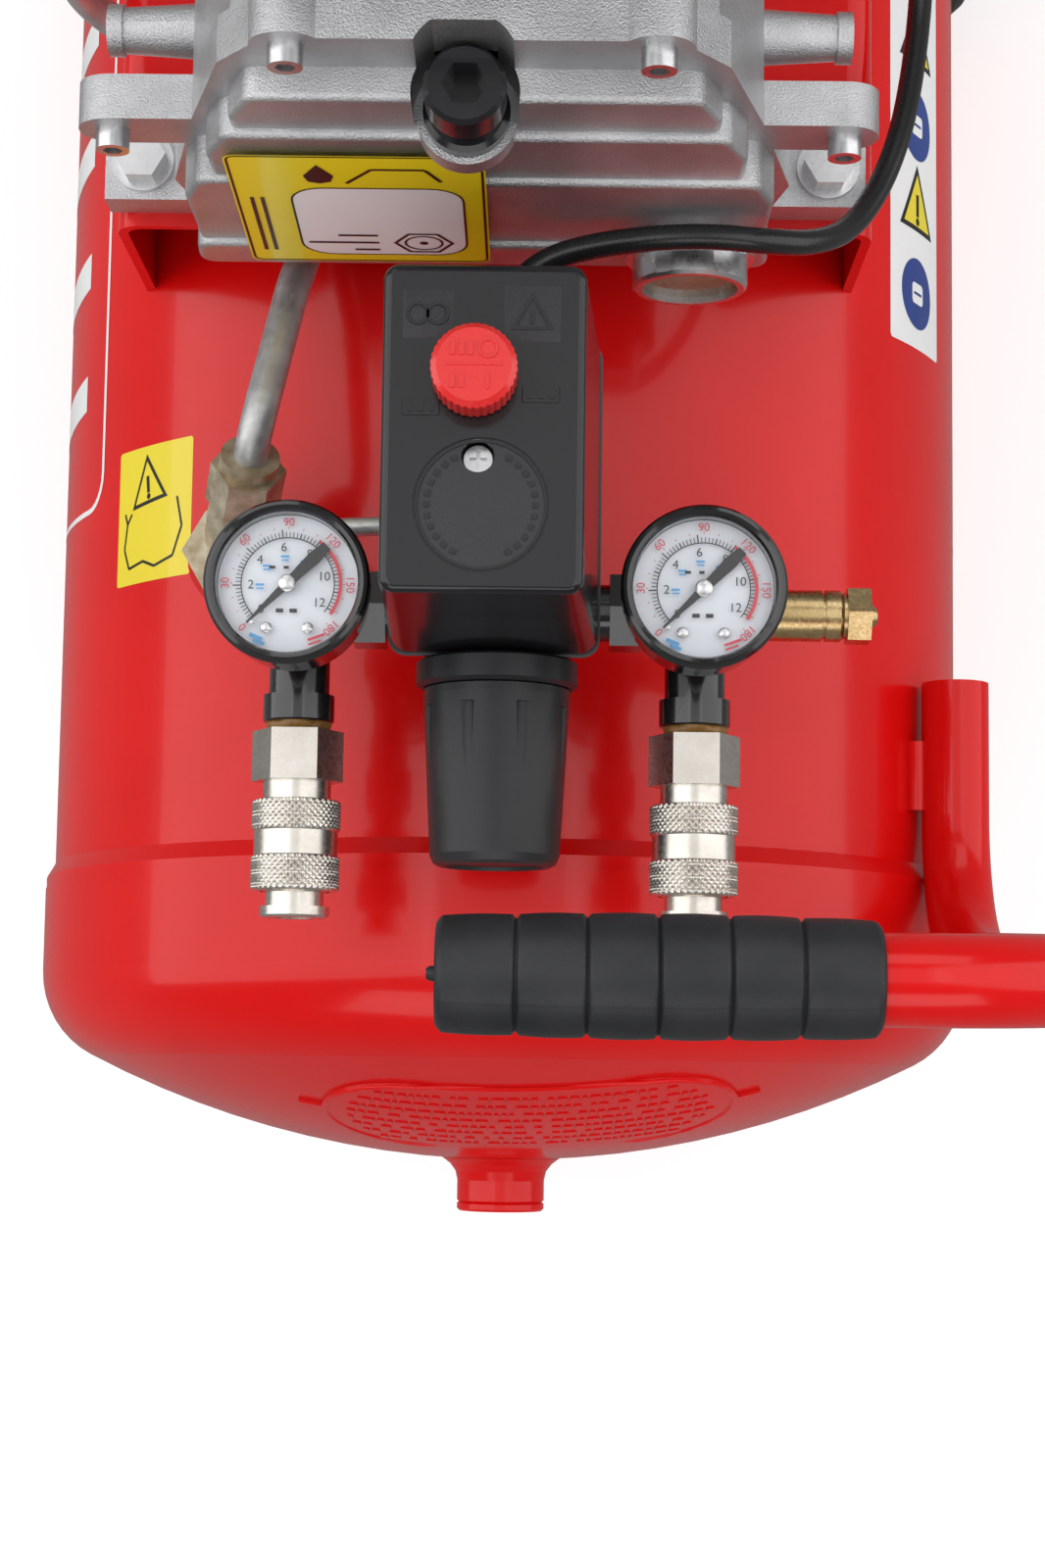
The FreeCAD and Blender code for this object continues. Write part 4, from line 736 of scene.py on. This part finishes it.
def add_knob_marks():
    """Raised off and on marks on the pull knob: a circle and a bar either side of a line."""
    low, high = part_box("switch_knob")
    top = Vector(((low.x + high.x) / 2, (low.y + high.y) / 2, high.z))
    bm = bmesh.new()
    raised(bm, rectangle(0.0150, 0.0005), top, MARK_UP)
    raised_ring(bm, [(0, 0.0026), (0.0004, 0.0025), (0.0004, 0.0019), (0, 0.0018)],
                top + Vector((0.0035, 0.0040, 0)))
    raised(bm, rectangle(0.0008, 0.0042, 0.0002), top + Vector((0.0035, -0.0042, 0)), 0.0004)
    for y, count in ((0.0040, 3), (-0.0042, 2)):
        for i in range(count):
            place = top + Vector((-0.0052 + 0.0022 * i, y, 0))
            raised(bm, rectangle(0.0013, 0.0036, 0.0003), place, 0.0004)
    keep("knob_marks", bm, KNOB_RED, "power_knob")


add_switch_panels()
add_switch_marks()
add_knob_marks()


# ---------------------------------------------------------------- data plate

CROWN_R = 0.310
HEAD_DEPTH = 0.0895
PLATE_TOP = CROWN_R + 0.0012
PLATE_LIFT = math.radians(17.5)
PLATE_SWING = math.radians(2.0)
PLATE_ROWS = 8
ROW_TOP = 0.0235
ROW_PITCH = 0.0066
STAMP_HEIGHT = 0.0036
STAMP_FOOT = -0.0002
STAMP_UP = 0.00045
BEAD_SIDES = 8


def on_plate(u, v, height):
    """Point on the data plate's curved face: u to the right, v up, height out of it."""
    level = math.cos(PLATE_LIFT)
    normal = Vector((math.sin(PLATE_SWING) * level, -math.cos(PLATE_SWING) * level, math.sin(PLATE_LIFT)))
    right = Vector((0, 0, 1)).cross(normal).normalized()
    up = normal.cross(right)
    centre = at(0, CROWN_R - HEAD_DEPTH, 0)
    flat = normal * CROWN_R + right * u + up * v
    return centre + flat.normalized() * (PLATE_TOP + height)


def obround(half_length, half_height, steps):
    straight = half_length - half_height
    outline = []
    for side, start in ((1, -90), (-1, 90)):
        for i in range(steps + 1):
            a = math.radians(start + 180 * i / steps)
            outline.append((side * straight + half_height * math.cos(a), half_height * math.sin(a)))
    return outline


def add_plate_stamping(chance):
    """Rows of stamped dashes, shorter towards the plate's rounded ends."""
    bm = bmesh.new()
    for row in range(PLATE_ROWS):
        v = ROW_TOP - ROW_PITCH * row
        reach = 0.028 + 0.030 * math.sqrt(1 - (v / 0.031) ** 2)
        u = -reach
        while u < reach - 0.002:
            width = chance.uniform(0.0014, 0.0042)
            outline = shifted(rectangle(width, STAMP_HEIGHT, 0.0006), u + width / 2, v)
            low = [bm.verts.new(on_plate(x, y, STAMP_FOOT)) for x, y in outline]
            high = [bm.verts.new(on_plate(x, y, STAMP_UP)) for x, y in outline]
            bm.faces.new(high)
            join(bm, low, high)
            u += width + (0.0008 if chance.random() < 0.8 else 0.0030)
    keep("plate_stamping", bm, RED)


def add_plate_weld(chance):
    """Uneven weld bead round the plate's edge."""
    bead = bmesh.new()
    sections = []
    for i, (x, y) in enumerate(obround(0.0648, 0.0308, 40)):
        thick = 0.0009 + 0.0001 * math.sin(i * 1.9) + 0.0002 * chance.random()
        outwards = Vector((x, y, 0)).normalized()
        section = []
        for step in range(BEAD_SIDES):
            a = 2 * math.pi * step / BEAD_SIDES
            u = x + outwards.x * thick * math.cos(a)
            v = y + outwards.y * thick * math.cos(a)
            section.append(bead.verts.new(on_plate(u, v, thick * 0.8 * math.sin(a) - 0.0003)))
        sections.append(section)
    for section, following in zip(sections, sections[1:] + sections[:1]):
        join(bead, section, following)
    keep("plate_weld", bead, RED, "root", 80)


plate_chance = random.Random(7)
add_plate_stamping(plate_chance)
add_plate_weld(plate_chance)


# ---------------------------------------------------------------- labels

HOT_LABEL = {"angle": -45.7, "back": 0.1135, "width": 0.0385, "height": 0.0435}
STRIP = {"angle": 59.3, "back": 0.256, "width": 0.0385, "length": 0.158}
STRIP_FIRST = 0.0185
STRIP_PITCH = 0.0285
STRIP_SIGNS = ("round", "triangle", "round", "triangle", "round")
BORDER_ANGLES = {"left": -75.5, "right": 98}
BORDER_BACK = 0.2850
BORDER_BARS = 7
BAR_PITCH = 0.042
COVER_LABEL_WIDTH = 0.0675
COVER_LABEL_HEIGHT = 0.0780


def hazard_triangle(bm_dark, bm_fill, x, y, radius, turn):
    """Warning triangle: dark outline round a filled triangle, with a plain bar and dot."""
    def placed(outline):
        return shifted(rotated(outline, turn), x, y)
    fill(bm_dark, placed(regular(3, radius, math.pi / 2)), 2 * LIFT)
    fill(bm_fill, placed(regular(3, radius * 0.78, math.pi / 2)), 3 * LIFT)
    fill(bm_dark, placed(shifted(rectangle(radius * 0.14, radius * 0.5), 0, radius * 0.08)), 4 * LIFT)
    fill(bm_dark, placed(shifted(regular(12, radius * 0.09), 0, -radius * 0.28)), 4 * LIFT)


def label_sheet(width, height, corner):
    bm = bmesh.new()
    fill(bm, rectangle(width, height, corner))
    return bm


def add_tank_label():
    """Small yellow hot-surface label on the left of the tank."""
    dark = bmesh.new()
    sheet = label_sheet(HOT_LABEL["width"], HOT_LABEL["height"], 0.0012)
    hazard_triangle(dark, sheet, -0.002, 0.0085, 0.0108, 0.12)
    hand = [(-0.0135, -0.002), (-0.0150, -0.010), (-0.0120, -0.0165), (-0.004, -0.0150), (0.002, -0.0172),
            (0.011, -0.0150), (0.0150, -0.006), (0.0125, 0.0035)]
    line(dark, hand, 0.0009, 2 * LIFT)
    line(dark, [(-0.0150, 0.0015), (-0.0135, -0.002), (-0.0110, 0.0010)], 0.0009, 2 * LIFT)
    for bm in (dark, sheet):
        wrapped_on_tank(bm, HOT_LABEL["angle"], HOT_LABEL["back"])
    keep("hot_surface_label", sheet, YELLOW)
    keep("hot_surface_marks", dark, DARK)


def add_side_strip():
    """White strip of round blue and triangular yellow signs on the right of the tank."""
    sheet = label_sheet(STRIP["width"], STRIP["length"], 0.0015)
    dark, tint, blue, pale = bmesh.new(), bmesh.new(), bmesh.new(), bmesh.new()
    for place, shape in enumerate(STRIP_SIGNS):
        y = -STRIP["length"] / 2 + STRIP_FIRST + STRIP_PITCH * place
        if shape == "round":
            fill(blue, shifted(regular(48, 0.0118), 0, y), 2 * LIFT)
            fill(pale, shifted(rectangle(0.0085, 0.0070, 0.0015), 0, y), 3 * LIFT)
            line(blue, [(-0.0030, y), (0.0030, y)], 0.0009, 4 * LIFT)
        else:
            hazard_triangle(dark, tint, 0, y, 0.0150, 0.0)
    for name, bm, finish in (("sign_strip", sheet, WHITE), ("sign_strip_dark", dark, DARK),
                             ("sign_strip_yellow", tint, YELLOW), ("sign_strip_blue", blue, BLUE),
                             ("sign_strip_pale", pale, WHITE)):
        wrapped_on_tank(bm, STRIP["angle"], STRIP["back"])
        keep(name, bm, finish)


def add_side_border():
    """Pale rounded border with plain slanted bars on both sides of the tank."""
    bar = [(-0.030, -0.009), (0.030, -0.003), (0.030, 0.009), (-0.030, 0.003)]
    for name, angle in BORDER_ANGLES.items():
        bm = bmesh.new()
        band(bm, rectangle(0.098, 0.330, 0.012), rectangle(0.0945, 0.3265, 0.0105))
        for i in range(BORDER_BARS):
            fill(bm, shifted(bar, 0, -0.126 + BAR_PITCH * i))
        wrapped_on_tank(bm, angle, BORDER_BACK)
        keep(name + "_side_border", bm, WHITE)


def draw_window(dark, pale):
    """Pale window with a thin dark edge."""
    def placed(width, height, corner):
        return shifted(rectangle(width, height, corner), 0.0045, -0.008)
    fill(pale, placed(0.046, 0.050, 0.009), 2 * LIFT)
    band(dark, placed(0.0465, 0.0505, 0.0092), placed(0.0453, 0.0493, 0.0086), 3 * LIFT)


def draw_drop(dark):
    """Oil drop with the outline of a can beside it."""
    drop = [(0.000, 0.032), (-0.004, 0.0245), (-0.003, 0.0205), (0.000, 0.0192), (0.003, 0.0205),
            (0.004, 0.0245)]
    fill(dark, shifted(drop, -0.010, 0.001), 3 * LIFT)
    line(dark, [(-0.003, 0.0205), (0.004, 0.0300), (0.018, 0.0300), (0.022, 0.0220)], 0.0011, 3 * LIFT)


def draw_sight_glass(dark):
    """Sight glass: a hexagon, a ring and a spot, with three dashes for its levels."""
    def placed(outline):
        return shifted(outline, 0.0155, -0.0235)
    band(dark, placed(regular(6, 0.0085)), placed(regular(6, 0.0074)), 4 * LIFT)
    band(dark, placed(regular(24, 0.0055)), placed(regular(24, 0.0048)), 4 * LIFT)
    fill(dark, placed(regular(16, 0.0012)), 4 * LIFT)
    for y, start in ((-0.0180, -0.0080), (-0.0235, -0.0165), (-0.0290, -0.0040)):
        line(dark, [(start, y), (0.0030, y)], 0.0013, 4 * LIFT)


def add_cover_label():
    """Yellow oil-level label on the pump's front cover."""
    width, height = COVER_LABEL_WIDTH, COVER_LABEL_HEIGHT
    sheet, dark, pale = label_sheet(width, height, 0.003), bmesh.new(), bmesh.new()
    band(dark, rectangle(width - 0.001, height - 0.001, 0.0028),
         rectangle(width - 0.0024, height - 0.0024, 0.002), 2 * LIFT)
    draw_window(dark, pale)
    draw_drop(dark)
    draw_sight_glass(dark)
    for x in (-0.0290, -0.0262):
        line(dark, [(x, -0.030), (x, 0.010)], 0.0011, 3 * LIFT)
    for name, bm, finish in (("sheet", sheet, YELLOW), ("dark", dark, DARK), ("pale", pale, WHITE)):
        laid_on(bm, at(-0.0375, 0.1710, 0.2305), (1, 0, 0), (0, 0.040, 1))
        keep("oil_level_label_" + name, bm, finish)


add_tank_label()
add_side_strip()
add_side_border()
add_cover_label()


# ---------------------------------------------------------------- stage and light

FLOOR_SIZE = 6
FLOOR_TONE = (0.86, 0.86, 0.86, 1)
FLOOR_ROUGHNESS = 0.9
FLOOR_GLOW = 0.35
WORLD_STRENGTH = 0.24
LIGHT_TARGET = (0, 0.0, 0.4)
# Each softbox: name, place, width and height in metres, power in watts
SOFTBOXES = [
    ("left_softbox", (-1.35, 0.0, 1.35), (1.6, 2.7), 22),
    ("right_softbox", (1.35, 0.0, 1.35), (1.6, 2.7), 18),
    ("front_softbox", (0.0, -1.6, 1.6), (2.2, 0.9), 11),
    ("rear_softbox", (0.0, 1.3, 1.9), (2.2, 0.9), 9),
    ("top_softbox", (0.0, -0.1, 2.4), (1.4, 1.4), 5),
]


def area_light(name, place, size, power):
    data = bpy.data.lights.new(name, "AREA")
    data.shape = "RECTANGLE"
    data.size, data.size_y = size
    data.energy = power
    lamp = bpy.data.objects.new(name, data)
    lamp.location = place
    aim = Vector(LIGHT_TARGET) - Vector(place)
    lamp.rotation_euler = aim.to_track_quat("-Z", "Y").to_euler()
    bpy.context.scene.collection.objects.link(lamp)


def add_stage():
    bm = bmesh.new()
    bmesh.ops.create_grid(bm, x_segments=1, y_segments=1, size=FLOOR_SIZE)
    mesh = bpy.data.meshes.new("floor")
    bm.to_mesh(mesh)
    bm.free()
    floor = bpy.data.objects.new("floor", mesh)
    material, tree, shader = node_tree("pale_floor")
    shader.inputs["Base Color"].default_value = FLOOR_TONE
    shader.inputs["Roughness"].default_value = FLOOR_ROUGHNESS
    shader.inputs["Emission Color"].default_value = (1, 1, 1, 1)
    shader.inputs["Emission Strength"].default_value = FLOOR_GLOW
    mesh.materials.append(material)
    bpy.context.scene.collection.objects.link(floor)
    floor.visible_glossy = False


def add_lights():
    world = bpy.data.worlds.new("studio")
    world.use_nodes = True
    background = world.node_tree.nodes["Background"]
    background.inputs["Color"].default_value = (1, 1, 1, 1)
    background.inputs["Strength"].default_value = WORLD_STRENGTH
    bpy.context.scene.world = world
    bpy.context.scene.view_settings.view_transform = "Standard"
    for softbox in SOFTBOXES:
        area_light(*softbox)


add_stage()
add_lights()
